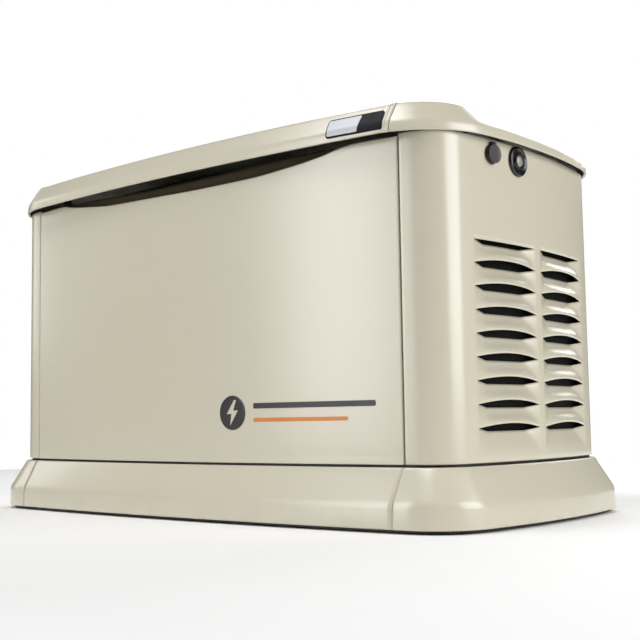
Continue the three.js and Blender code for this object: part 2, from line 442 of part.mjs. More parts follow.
// ---------------------------------------------------------------- fuel and air
{
  const arms = union(cyl('y', 15, -86, 86, 153, 440, 14));
  put('fuel_mixer', union(box(122, 184, -32, 32, 412, 478), cyl('z', 26, 477, 490.4, 153, 0, 16), arms), M.alu);
  put('airbox_base', box(96, 300, -118, 118, 500.3, 540).subtract(box(100, 296, -114, 114, 504, 545)).add(cyl('z', 30, 490.7, 501, 153, 0, 16)).subtract(cyl('z', 20, 480, 510, 153, 0, 16)), M.plastic);
  put('airbox_cover', union(box(94, 302, -120, 120, 540.3, 546), box(108, 288, -106, 106, 545, 578)).subtract(box(112, 284, -102, 102, 530, 574)), M.plastic);
  put('fuel_regulator', union(box(192, 278, 168, 242, 92, 190), cyl('x', 34, 176, 193, 205, 145, 18), cyl('z', 9, 189, 200, 226, 205, 12)), M.alu);
  put('fuel_inlet', union(cyl('y', 13, 242.4, 322, FUEL_X, FUEL_Z, 16), lathe('y', [[12, 296], [17, 296], [17, 306], [12, 306]], FUEL_X, FUEL_Z, 6)).subtract(cyl('y', 8, 260, 330, FUEL_X, FUEL_Z, 14)), M.steel);
  put('fuel_hose', tube([[226, 205, 200.4], [226, 205, 250], [226, 196, 330], [226, 168, 395], [224, 110, 428], [218, 60, 442], [212, 22, 445], [200, 12, 445], [184.6, 12, 445]], 8, 6, 20), M.rubber);
}

// ---------------------------------------------------------------- exhaust
{
  const body = lathe('y', [[0, -175], [60, -175], [82, -160], [90, -140], [90, 140], [82, 160], [60, 175], [0, 175]], -445, 290, 16);
  put('muffler', union(body, cyl('x', 22, -553, -520, 0, 290, 16), cyl('z', 24, 355, 400, -445, -120, 16), cyl('z', 24, 355, 400, -445, 120, 16)), M.galv);
  for (const s of [-1, 1]) {
    const x = s < 0 ? 109.6 : 75.6;
    put('exhaust_pipe_' + (s < 0 ? 'front' : 'rear'),
      tube([[x, s * 154, 402], [x - 30, s * 154, 402], [x - 90, s * 165, 405], [-100, s * 165, 405], [-280, s * 165, 405], [-360, s * 165, 408], [-415, s * 150, 428], [-441, s * 124, 438], [-445, s * 120, 420], [-445, s * 120, 400.6]], 18, 8, 18), M.steel);
  }
}

// ---------------------------------------------------------------- battery, control box, breaker
{
  const pack = union(box(318, 484, -215, -8, 6, 190), box(324, 478, -209, -14, 189, 203), cyl('z', 9, 202, 220, 345, -185, 12), cyl('z', 8, 202, 220, 345, -38, 12));
  put('battery', pack, M.plastic);

  const face = [[-150, 430], [205, 430], [205, 585], [-40, 585], [-150, 500]];
  let boxm = prismX(face, 325, 484);
  // local frame on the sloped face: u along X, v up the slope, w outwards
  const ang = Math.atan2(85, 110) * 180 / Math.PI;
  const onFace = (m, v) => m.rotate([ang, 0, 0]).translate([0, -150 + v * 110 / Math.hypot(110, 85), 500 + v * 85 / Math.hypot(110, 85)]);
  boxm = boxm.subtract(onFace(box(346, 424, -24, 24, -2.4, 5), 88));
  const keys = [['auto', 350], ['manual', 386], ['off', 422]];
  for (const [, x] of keys) boxm = boxm.subtract(onFace(box(x - 11, x + 11, -8, 8, -4.4, 5), 32));
  put('control_box', boxm, M.grey);
  put('display_window', onFace(box(346.3, 423.7, -23.7, 23.7, -2.1, 0.2), 88), M.lens);
  for (const [k, x] of keys) put('button_' + k, onFace(union(box(x - 10.7, x + 10.7, -7.7, 7.7, -2.6, 1), box(x - 9.5, x + 9.5, -6.5, 6.5, 0.9, 1.8)), 32), M.plastic);
  const mb = union(box(345, 405, 40, 140, 585.3, 612), box(345, 405, 66, 114, 611, 618)).subtract(box(358, 392, 74, 106, 596, 630));
  put('breaker_body', mb, M.plastic);
  const tog = union(cyl('x', 5, 360, 390, 90, 606, 12), box(362, 388, 87, 93, 606, 626));
  const pose = tog.translate([0, -90, -606]).rotate([16, 0, 0]).translate([0, 90, 606]);
  put('breaker_toggle', pose, M.orange);
}

export default root;
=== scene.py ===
import math
import bpy
import bmesh
import numpy as np
from mathutils import Matrix, Vector


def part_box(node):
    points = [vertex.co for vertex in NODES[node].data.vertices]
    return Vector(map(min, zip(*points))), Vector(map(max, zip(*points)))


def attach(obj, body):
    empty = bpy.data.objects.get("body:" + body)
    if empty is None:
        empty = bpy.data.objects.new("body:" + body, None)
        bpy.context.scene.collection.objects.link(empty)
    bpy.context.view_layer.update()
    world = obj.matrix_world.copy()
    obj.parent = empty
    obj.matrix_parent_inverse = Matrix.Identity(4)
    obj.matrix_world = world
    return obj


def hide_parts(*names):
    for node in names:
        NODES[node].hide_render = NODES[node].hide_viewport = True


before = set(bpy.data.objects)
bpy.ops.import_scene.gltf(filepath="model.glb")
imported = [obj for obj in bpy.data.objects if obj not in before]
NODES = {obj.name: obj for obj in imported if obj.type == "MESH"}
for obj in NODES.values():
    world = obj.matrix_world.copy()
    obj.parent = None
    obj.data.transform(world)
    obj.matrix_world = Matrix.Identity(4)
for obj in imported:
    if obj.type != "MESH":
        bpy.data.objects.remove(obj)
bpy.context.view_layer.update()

scene = bpy.context.scene

# ------------------------------------------------------------------ camera
def make_camera():
    cam = bpy.data.cameras.new("Camera")
    cam.sensor_width = 36.0
    cam.sensor_fit = "HORIZONTAL"
    cam.lens = 61.82
    cam.clip_start = 0.05
    cam.clip_end = 60
    ob = bpy.data.objects.new("Camera", cam)
    scene.collection.objects.link(ob)
    a, e, r = (math.radians(v) for v in (39.88, 5.18, -0.87))
    fwd = np.array([-math.sin(a) * math.cos(e), math.cos(a) * math.cos(e), math.sin(e)])
    right = np.array([math.cos(a), math.sin(a), 0.0])
    up = np.cross(right, fwd)
    r2 = math.cos(r) * right + math.sin(r) * up
    u2 = -math.sin(r) * right + math.cos(r) * up
    m = np.eye(4)
    m[:3, 0], m[:3, 1], m[:3, 2], m[:3, 3] = r2, u2, -fwd, (1.48186, -1.67504, 0.17589)
    ob.matrix_world = Matrix(m.tolist())
    scene.camera = ob


make_camera()

# ------------------------------------------------------------------ dimensions (mm)
Z_PANEL0, Z_PANEL1 = 103.3, 627.0
Z_LIP, Z_LIP1, Z_RIDGE, Z_TOP = 629.0, 645.0, 681.0, 735.0
X_SEAM, X_SKIRT = 473.0, 474.6
L_TOP, L_PITCH, L_W, L_Y, L_ROWS = 461.3, 37.9, 173.0, 9.1, 9
LOCK_Y, LOCK_Z, LAMP_Y, LAMP_Z = -132.0, 605.0, -58.0, 604.4


class Outline:
    """Plan outline of arcs: bowed front and back, bowed ends, rounded corners."""

    def __init__(self, A, B, bf, be, r):
        self.A, self.B, self.r = A, B, r
        self.Rf = (A * A + bf * bf) / (2 * bf)
        self.Re = (B * B + be * be) / (2 * be)
        self.c1 = np.array([0.0, -B + self.Rf])
        self.c2 = np.array([A - self.Re, 0.0])
        R1, R2 = self.Rf - r, self.Re - r
        d = self.c2 - self.c1
        D = np.hypot(*d)
        a = (R1 * R1 - R2 * R2 + D * D) / (2 * D)
        h = math.sqrt(R1 * R1 - a * a)
        m = self.c1 + a * d / D
        n = np.array([-d[1], d[0]]) / D
        self.P = max((m + h * n, m - h * n), key=lambda q: q[0] - q[1])
        self.t1 = self.c1 + (self.P - self.c1) / np.hypot(*(self.P - self.c1)) * self.Rf
        self.t2 = self.c2 + (self.P - self.c2) / np.hypot(*(self.P - self.c2)) * self.Re

    def front(self, x):
        if abs(x) > self.t1[0]:
            s = math.copysign(1, x)
            w = abs(x) - self.P[0]
            h = math.sqrt(max(self.r ** 2 - w * w, 0))
            return np.array([x, self.P[1] - h, s * w / self.r, -h / self.r])
        y = self.c1[1] - math.sqrt(self.Rf ** 2 - x * x)
        return np.array([x, y, x / self.Rf, (y - self.c1[1]) / self.Rf])

    def end(self, y):
        a = math.asin(y / self.Re)
        return np.array([self.c2[0] + self.Re * math.cos(a), y, math.cos(a), math.sin(a)])

    def corner(self, ang):
        return np.array([self.P[0] + self.r * math.cos(ang), self.P[1] + self.r * math.sin(ang), math.cos(ang), math.sin(ang)])

    def right_half(self, xs, nf, nc, ne, power=1.0, ys=None):
        """Front right quarter of the path from x = xs to the middle of the end; the same counts give matching points on two outlines."""
        q = []
        b0 = math.atan2(self.t1[1] - self.P[1], self.t1[0] - self.P[0])
        b1 = math.atan2(self.t2[1] - self.P[1], self.t2[0] - self.P[0])
        if xs > self.t1[0]:
            b0 = -math.acos((xs - self.P[0]) / self.r)
            nc += nf
            q.append(self.front(xs))
        else:
            for i in range(nf + 1):
                q.append(self.front(xs + (self.t1[0] - xs) * i / nf))
        for i in range(1, nc + 1):
            q.append(self.corner(b0 + (b1 - b0) * (i / nc) ** power))
        if ys is None:
            e0 = math.atan2(self.t2[1] - self.c2[1], self.t2[0] - self.c2[0])
            ys = [self.Re * math.sin(e0 * (1 - i / ne)) for i in range(1, ne + 1)]
        for y in ys:
            q.append(self.end(min(y, 0.0)) if abs(y) < 1e-9 else self.end(y))
        return q

    def right_end(self, *a, **k):
        q = self.right_half(*a, **k)
        last = q[-1]
        back = [np.array([p[0], -p[1], p[2], -p[3]]) for p in (q[:-1] if abs(last[1]) < 1e-6 else q)][::-1]
        return np.array(q + back)


BODY = Outline(571, 299, 46, 38.5, 71)
LIP = Outline(589, 316, 33, 44, 150)
RIDGE = Outline(553, 294, 33, 24, 105)
SKIRT_LOW = Outline(609.5, 324, 31, 39, 105)
SKIRT_HIGH = Outline(577, 301, 42, 40, 75)


def lin(a, b, n):
    return [a + (b - a) * i / n for i in range(n + 1)]


# ------------------------------------------------------------------ mesh helpers
class Mesh:
    """Collects vertices (mm) and faces, then makes one object."""

    def __init__(self):
        self.v, self.f = [], []

    def add(self, verts, faces):
        o = len(self.v)
        self.v.extend([tuple(map(float, p)) for p in verts])
        self.f.extend([tuple(i + o for i in f) for f in faces])
        return o

    def grid(self, P, closed_u=False, closed_v=False, flip=False, skip=None):
        """P has shape (nu, nv, 3); quads (u, v), (u+1, v), (u+1, v+1), (u, v+1)."""
        P = np.asarray(P, float)
        nu, nv = P.shape[:2]
        faces = []
        for i in range(nu if closed_u else nu - 1):
            for j in range(nv if closed_v else nv - 1):
                if skip is not None and skip(i, j):
                    continue
                a, b = i * nv + j, ((i + 1) % nu) * nv + j
                c, d = ((i + 1) % nu) * nv + (j + 1) % nv, i * nv + (j + 1) % nv
                faces.append((a, d, c, b) if flip else (a, b, c, d))
        return self.add(P.reshape(-1, 3), faces)

    def lathe(self, prof, n=48, cap=False):
        """Profile [(radius, height)] about local +X; returns local points."""
        P = []
        for i in range(n):
            t = 2 * math.pi * i / n
            P.append([(h, r * math.cos(t), r * math.sin(t)) for r, h in prof])
        return self.grid(np.array(P), closed_u=True, flip=False)

    def box(self, lo, hi, m=None):
        x0, y0, z0 = lo
        x1, y1, z1 = hi
        v = [(x0, y0, z0), (x1, y0, z0), (x1, y1, z0), (x0, y1, z0), (x0, y0, z1), (x1, y0, z1), (x1, y1, z1), (x0, y1, z1)]
        if m is not None:
            v = [tuple(m @ Vector(p)) for p in v]
        return self.add(v, [(0, 3, 2, 1), (4, 5, 6, 7), (0, 1, 5, 4), (1, 2, 6, 5), (2, 3, 7, 6), (3, 0, 4, 7)])

    def obj(self, name, merge=0.02, sharp=35, mirror=False, smooth=True, recalc=False):
        v = np.array(self.v, float) * 0.001
        f = self.f
        if mirror:
            v[:, 0] *= -1
            f = [tuple(reversed(q)) for q in f]
        me = bpy.data.meshes.new(name)
        me.from_pydata(v.tolist(), [], f)
        bm = bmesh.new()
        bm.from_mesh(me)
        bmesh.ops.remove_doubles(bm, verts=bm.verts, dist=merge * 0.001)
        bmesh.ops.dissolve_degenerate(bm, dist=1e-6, edges=bm.edges)
        if recalc:
            bmesh.ops.recalc_face_normals(bm, faces=bm.faces)
        bm.to_mesh(me)
        bm.free()
        if smooth:
            me.shade_smooth()
            me.set_sharp_from_angle(angle=math.radians(sharp))
        ob = bpy.data.objects.new(name, me)
        scene.collection.objects.link(ob)
        return ob


def mod_solid(ob, t_mm, offset=-1.0, even=True):
    m = ob.modifiers.new("sheet", "SOLIDIFY")
    m.thickness = t_mm * 0.001
    m.offset = offset
    m.use_even_offset = even
    m.use_rim = True
    return ob


def mod_bevel(ob, w_mm, seg=2, angle=40):
    m = ob.modifiers.new("edge", "BEVEL")
    m.width = w_mm * 0.001
    m.segments = seg
    m.limit_method = "ANGLE"
    m.angle_limit = math.radians(angle)
    m.harden_normals = False
    return ob


def rounded(P, cuts, nseg, nspan=None):
    """P (K, n, 3): polylines with corner points; every inner corner is rounded with a cut length (mm)."""
    P = np.asarray(P, float)
    n = P.shape[1]
    out = [P[:, 0]]
    prev = P[:, 0]
    for i in range(1, n):
        if i < n - 1:
            a, b = P[:, i - 1] - P[:, i], P[:, i + 1] - P[:, i]
            la = np.linalg.norm(a, axis=1, keepdims=True) + 1e-9
            lb = np.linalg.norm(b, axis=1, keepdims=True) + 1e-9
            ca = np.minimum(cuts[i - 1], la * 0.48)
            cb = np.minimum(cuts[i - 1], lb * 0.48)
            A, B = P[:, i] + a / la * ca, P[:, i] + b / lb * cb
        else:
            A = P[:, i]
        k = (nspan[i - 1] if nspan else 1)
        for j in range(1, k + 1):
            out.append(prev + (A - prev) * j / k)
        if i < n - 1:
            for j in range(1, nseg + 1):
                t = j / nseg
                out.append((1 - t) ** 2 * A + 2 * t * (1 - t) * P[:, i] + t * t * B)
            prev = B
    return np.stack(out, axis=1)


def at(path, d, z):
    """3-D points of a path (rows x, y, nx, ny) at an outward offset d and height z (numbers or arrays)."""
    p = np.asarray(path)
    d = np.broadcast_to(np.asarray(d, float), (len(p),))
    z = np.broadcast_to(np.asarray(z, float), (len(p),))
    return np.stack([p[:, 0] + p[:, 2] * d, p[:, 1] + p[:, 3] * d, z], axis=1)


def smoothstep(t):
    t = np.clip(t, 0, 1)
    return t * t * (3 - 2 * t)


# ------------------------------------------------------------------ materials
def new_mat(name):
    m = bpy.data.materials.new(name)
    m.use_nodes = True
    nt = m.node_tree
    nt.nodes.clear()
    out = nt.nodes.new("ShaderNodeOutputMaterial")
    b = nt.nodes.new("ShaderNodeBsdfPrincipled")
    nt.links.new(b.outputs[0], out.inputs[0])
    return m, nt, b


def srgb(r, g, b):
    f = lambda c: c / 12.92 if c <= 0.04045 else ((c + 0.055) / 1.055) ** 2.4
    return (f(r / 255), f(g / 255), f(b / 255), 1)


def mul(c, k):
    return (min(c[0] * k, 1), min(c[1] * k, 1), min(c[2] * k, 1), 1)


def ramp(nt, fac, stops):
    r = nt.nodes.new("ShaderNodeValToRGB")
    el = r.color_ramp.elements
    while len(el) < len(stops):
        el.new(0.5)
    for e, (p, c) in zip(el, stops):
        e.position = p
        e.color = c if len(c) == 4 else (*c, 1)
    nt.links.new(fac, r.inputs[0])
    return r.outputs[0]


def noise(nt, co, scale, detail=4, rough=0.5, stretch=None):
    n = nt.nodes.new("ShaderNodeTexNoise")
    n.inputs["Scale"].default_value = scale
    n.inputs["Detail"].default_value = detail
    n.inputs["Roughness"].default_value = rough
    if stretch:
        mp = nt.nodes.new("ShaderNodeMapping")
        mp.inputs["Scale"].default_value = stretch
        nt.links.new(co, mp.inputs[0])
        co = mp.outputs[0]
    nt.links.new(co, n.inputs["Vector"])
    return n.outputs["Fac"]


def mixc(nt, fac, a, b, mode="MIX"):
    m = nt.nodes.new("ShaderNodeMix")
    m.data_type = "RGBA"
    m.blend_type = mode
    if isinstance(fac, float):
        m.inputs[0].default_value = fac
    else:
        nt.links.new(fac, m.inputs[0])
    for i, c in ((6, a), (7, b)):
        if isinstance(c, tuple):
            m.inputs[i].default_value = c
        else:
            nt.links.new(c, m.inputs[i])
    return m.outputs[2]


def bump(nt, b, heights):
    prev = None
    for h, strength, dist in heights:
        n = nt.nodes.new("ShaderNodeBump")
        n.inputs["Strength"].default_value = strength
        n.inputs["Distance"].default_value = dist
        nt.links.new(h, n.inputs["Height"])
        if prev is not None:
            nt.links.new(prev, n.inputs["Normal"])
        prev = n.outputs[0]
    nt.links.new(prev, b.inputs["Normal"])


def coords(nt):
    return nt.nodes.new("ShaderNodeTexCoord").outputs["Object"]


def surface(name, base, rough=(0.4, 0.5), metallic=0.0, grain=700, grain_s=0.15, grain_d=0.0002, var=0.08, var_scale=6,
            speck=0.0, brushed=None, coat=0.0, cells=None, dirt=None, spec=0.5):
    """A general procedural finish: colour variation at two scales, roughness variation and a fine relief."""
    m, nt, b = new_mat(name)
    co = coords(nt)
    big = noise(nt, co, var_scale, 5, 0.6)
    col = ramp(nt, big, [(0.3, mul(base, 1 - var)), (0.7, mul(base, 1 + var))])
    fine = noise(nt, co, grain, 2, 0.5, brushed)
    if speck:
        col = mixc(nt, ramp(nt, fine, [(0.35, (0, 0, 0)), (0.75, (1, 1, 1))]), col, mul(base, 1 - speck))
    if cells:
        v = nt.nodes.new("ShaderNodeTexVoronoi")
        v.inputs["Scale"].default_value = cells
        nt.links.new(co, v.inputs["Vector"])
        sp = ramp(nt, v.outputs["Color"], [(0.2, mul(base, 0.8)), (0.8, mul(base, 1.2))])
        col = mixc(nt, 0.5, col, sp)
    if dirt:
        d = noise(nt, co, 14, 6, 0.7)
        col = mixc(nt, ramp(nt, d, [(0.55, (0, 0, 0)), (0.8, (0.6, 0.6, 0.6))]), col, dirt)
    nt.links.new(col, b.inputs["Base Color"])
    mid = noise(nt, co, 35, 4, 0.55, brushed)
    nt.links.new(ramp(nt, mid, [(0.25, (rough[0],) * 3), (0.75, (rough[1],) * 3)]), b.inputs["Roughness"])
    b.inputs["Metallic"].default_value = metallic
    b.inputs["Coat Weight"].default_value = coat
    b.inputs["Coat Roughness"].default_value = 0.12
    b.inputs["Specular IOR Level"].default_value = spec
    bump(nt, b, [(fine, grain_s, grain_d), (mid, 0.05, 0.0006)])
    return m


def paint_material(name):
    """Bisque satin powder coat: orange peel, faint mottling, faint streaks along the sheet, a little dust low down."""
    base = srgb(208, 202, 182)
    m, nt, b = new_mat(name)
    co = coords(nt)
    big = noise(nt, co, 2.6, 4, 0.5)
    col = ramp(nt, big, [(0.3, mul(base, 0.99)), (0.7, mul(base, 1.01))])
    streak = noise(nt, co, 30, 3, 0.5, (0.12, 0.12, 1.6))
    col = mixc(nt, 0.35, col, mixc(nt, ramp(nt, streak, [(0.3, (0, 0, 0)), (0.7, (1, 1, 1))]), mul(base, 0.993), mul(base, 1.005)))
    speck = noise(nt, co, 2600, 2, 0.6)
    col = mixc(nt, ramp(nt, speck, [(0.60, (0, 0, 0)), (0.78, (0.35, 0.35, 0.35))]), col, mul(base, 0.86))
    sep = nt.nodes.new("ShaderNodeSeparateXYZ")
    nt.links.new(co, sep.inputs[0])
    dustn = noise(nt, co, 26, 6, 0.65)
    low = ramp(nt, sep.outputs[2], [(0.0, (0.5, 0.5, 0.5)), (0.055, (0, 0, 0))])
    col = mixc(nt, mixc(nt, low, (0, 0, 0, 1), ramp(nt, dustn, [(0.45, (0, 0, 0)), (0.8, (0.5, 0.5, 0.5))])), col, srgb(176, 166, 142))
    nt.links.new(col, b.inputs["Base Color"])
    rn = noise(nt, co, 60, 3, 0.5)
    nt.links.new(ramp(nt, rn, [(0.3, (0.285,) * 3), (0.7, (0.295,) * 3)]), b.inputs["Roughness"])
    b.inputs["Specular IOR Level"].default_value = 0.5
    b.inputs["Coat Weight"].default_value = 0.7
    b.inputs["Coat Roughness"].default_value = 0.24
    peel = noise(nt, co, 520, 2, 0.5)
    bump(nt, b, [(peel, 0.03, 0.00008), (speck, 0.01, 0.00003)])
    return m


PAINT = paint_material("bisque_powder_coat")
BLACK = surface("black_powder_coat", srgb(26, 26, 27), (0.45, 0.6), grain=900, grain_s=0.25, grain_d=0.0002, var=0.2, speck=0.2, dirt=srgb(70, 66, 58))
GALV = surface("galvanised", srgb(168, 172, 175), (0.28, 0.48), 1.0, grain=260, grain_s=0.1, var=0.1, cells=70, grain_d=0.0002)
PLASTIC = surface("black_plastic", srgb(24, 24, 25), (0.38, 0.5), grain=1500, grain_s=0.2, grain_d=0.00012, var=0.12, speck=0.1)
PLASTIC_GLOSS = surface("black_plastic_satin", srgb(20, 20, 21), (0.22, 0.32), grain=1300, grain_s=0.06, grain_d=0.0001, var=0.1, coat=0.2)
COVER = surface("lock_cover_plastic", srgb(74, 69, 74), (0.35, 0.45), grain=1500, grain_s=0.15, grain_d=0.0001, var=0.08, speck=0.08)
LOCK = surface("plated_lock", srgb(190, 188, 182), (0.15, 0.3), 1.0, grain=1200, grain_s=0.06, var=0.05)
ENGINE = surface("engine_paint", srgb(38, 39, 41), (0.35, 0.5), 0.1, grain=420, grain_s=0.22, grain_d=0.0004, var=0.14, dirt=srgb(58, 54, 48))
YELLOW = surface("yellow_plastic", srgb(222, 172, 28), (0.3, 0.42), grain=1200, grain_s=0.1, var=0.05)
ALLOY = surface("cast_alloy", srgb(158, 159, 160), (0.38, 0.6), 0.9, grain=380, grain_s=0.4, grain_d=0.0005, var=0.12, speck=0.15)
IRON = surface("cast_iron", srgb(84, 83, 84), (0.45, 0.65), 0.8, grain=300, grain_s=0.4, grain_d=0.0005, var=0.18, speck=0.2)
STEEL = surface("turned_steel", srgb(170, 170, 170), (0.2, 0.35), 1.0, grain=900, grain_s=0.12, var=0.07, brushed=(8, 1, 1))
COPPER = surface("varnished_windings", srgb(150, 78, 38), (0.28, 0.45), 0.7, grain=420, grain_s=0.5, grain_d=0.0006, var=0.2, brushed=(0.3, 3, 3), coat=0.3)
FILTER = surface("filter_paint", srgb(202, 106, 34), (0.25, 0.35), grain=900, grain_s=0.05, var=0.06, coat=0.3)
RUBBER = surface("rubber", srgb(22, 22, 22), (0.7, 0.85), grain=900, grain_s=0.3, grain_d=0.0002, var=0.15, spec=0.3)
EXHAUST = surface("aluminised_steel", srgb(150, 146, 138), (0.35, 0.6), 0.9, grain=240, grain_s=0.2, var=0.16, dirt=srgb(110, 84, 58))
BATT = surface("battery_case", srgb(30, 30, 33), (0.4, 0.52), grain=1300, grain_s=0.2, var=0.1)
GREY = surface("grey_plastic", srgb(96, 98, 102), (0.4, 0.52), grain=1400, grain_s=0.2, grain_d=0.00012, var=0.06, speck=0.08)
KEY = surface("key_rubber", srgb(66, 66, 69), (0.55, 0.7), grain=1200, grain_s=0.2, var=0.06)
TOGGLE = surface("toggle_plastic", srgb(188, 90, 34), (0.35, 0.5), grain=1200, grain_s=0.15, var=0.05)
# near-black foam for pieces whose black also serves as painted shade: behind the louvres and under the roof lip
SHADE_FOAM = surface("black_foam_painted_shade", srgb(16, 16, 16), (0.85, 0.95), grain=500, grain_s=0.8, grain_d=0.0006, var=0.3, spec=0.2)
SILVER = surface("badge_silver", srgb(186, 190, 196), (0.42, 0.52), 0.25, grain=1400, grain_s=0.05, var=0.04, brushed=(0.2, 4, 4), coat=0.1)
BADGE_DARK = surface("badge_dark", srgb(24, 24, 29), (0.5, 0.6), grain=1200, grain_s=0.05, var=0.08, spec=0.15)
CHARCOAL = surface("decal_charcoal", srgb(40, 39, 38), (0.3, 0.42), grain=1200, grain_s=0.06, var=0.06)
AMBER = surface("decal_amber", srgb(214, 128, 44), (0.3, 0.42), grain=1200, grain_s=0.06, var=0.06)
# dark olive: the bisque paint of the grip flange darkened as painted shade, standing in for the shadow under the roof
# lip
PAINTED_SHADE_OLIVE = surface("bisque_paint_painted_shade", srgb(58, 50, 30), (0.55, 0.7), grain=900, grain_s=0.2, grain_d=0.0002, var=0.12, spec=0.2)
LEAD_RED = surface("lead_red", srgb(160, 28, 24), (0.4, 0.5), grain=900, grain_s=0.15, var=0.08)


def glass_lens(name, tint, rough):
    m, nt, b = new_mat(name)
    co = coords(nt)
    n = noise(nt, co, 300, 4, 0.6)
    nt.links.new(ramp(nt, n, [(0.3, mul(tint, 0.9)), (0.7, mul(tint, 1.08))]), b.inputs["Base Color"])
    b.inputs["Roughness"].default_value = rough
    b.inputs["Coat Weight"].default_value = 0.7
    b.inputs["Coat Roughness"].default_value = 0.08
    b.inputs["Subsurface Weight"].default_value = 0.25
    b.inputs["Subsurface Radius"].default_value = (0.004, 0.004, 0.004)
    bump(nt, b, [(noise(nt, co, 900, 2, 0.5), 0.15, 0.0002)])
    return m


LENS = glass_lens("frosted_lens", srgb(150, 152, 146), 0.42)
DISPLAY = glass_lens("display_glass", srgb(70, 84, 72), 0.12)


def use(ob, mat):
    ob.data.materials.clear()
    ob.data.materials.append(mat)
    return ob


# ------------------------------------------------------------------ skirt
def skirt_profile(path_low, path_high, path_body):
    P = np.stack([at(path_low, -20, 6.4), at(path_low, 0, 6.2), at(path_low, -1.6, 44.4), at(path_high, 0, 99.5), at(path_body, -3.3, 99.3)], axis=1)
    return rounded(P, [2.6, 7.0, 3.0], 5, [1, 2, 3, 1])


def build_skirt():
    xf = X_SKIRT - 0.7
    xs = lin(-xf, xf, 96)
    fr = [np.array([o.front(x) for x in xs]) for o in (SKIRT_LOW, SKIRT_HIGH, BODY)]
    m = Mesh()
    m.grid(skirt_profile(*fr))
    front = mod_solid(m.obj("skirt_front_sheet"), 1.6)
    m = Mesh()
    P = skirt_profile(*fr).copy()
    P[:, :, 1] *= -1
    m.grid(P, flip=True)
    rear = mod_solid(m.obj("skirt_rear_sheet"), 1.6)
    en = [o.right_end(X_SKIRT + 0.1, 10, 26, 22) for o in (SKIRT_LOW, SKIRT_HIGH, BODY)]
    m = Mesh()
    m.grid(skirt_profile(*en))
    right = mod_solid(m.obj("skirt_right_sheet"), 1.6)
    left = mod_solid(m.obj("skirt_left_sheet", mirror=True), 1.6)
    for ob, node in ((front, "skirt_front"), (rear, "skirt_rear"), (right, "skirt_right"), (left, "skirt_left")):
        use(ob, PAINT)
        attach(ob, "enclosure")
        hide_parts(node)


build_skirt()


# ------------------------------------------------------------------ sheet walls with folded edges
def wall_rows(z0, z1, flange=10.0, r=2.5, n=4, zs=()):
    """(height, inward depth) rows of a wall with a flange folded in at the bottom and top."""
    rows = [(z0, flange)]
    for i in range(n + 1):
        t = math.pi / 2 * i / n
        rows.append((z0 + r * (1 - math.cos(t)), r * (1 - math.sin(t))))
    rows += [(z, 0.0) for z in zs]
    for i in range(n + 1):
        t = math.pi / 2 * i / n
        rows.append((z1 - r * (1 - math.sin(t)), r * (1 - math.cos(t))))
    rows.append((z1, flange))
    return rows


def with_returns(path, depth=12.0, r=2.0, n=4):
    """Adds columns that fold the ends of a path inwards: rows x, y, nx, ny, inward depth."""
    out = []
    def ends(p, sgn):
        t = np.array([-p[3], p[2]]) * sgn          # tangent, pointing into the wall
        cols = [(0.0, depth)]
        for i in range(n + 1):
            a = math.pi / 2 * i / n
            cols.append((r * (1 - math.cos(a)), r * (1 - math.sin(a))))
        return [np.array([p[0] + t[0] * s, p[1] + t[1] * s, p[2], p[3], d]) for s, d in cols]
    first = ends(path[0], 1.0)
    last = ends(path[-1], -1.0)[::-1]
    mid = [np.array([*p, 0.0]) for p in path[1:-1]]
    return np.array(first + mid + last)


def wall_grid(cols, rows, extra=None):
    P = np.zeros((len(cols), len(rows), 3))
    for i, c in enumerate(cols):
        for j, (z, d) in enumerate(rows):
            q = -max(c[4], d)
            if extra is not None:
                q += extra(c, z, max(c[4], d))
            P[i, j] = (c[0] + c[2] * q, c[1] + c[3] * q, z)
    return P


def louvre_stations():
    w = L_W
    base = [0, 1.5, 4, 8, 13, 19, 26, 30, 34.6, 42]
    mid = [51, 62, 74, 86.5]
    left = base + mid
    return left + [w - s for s in left[:-1][::-1]]


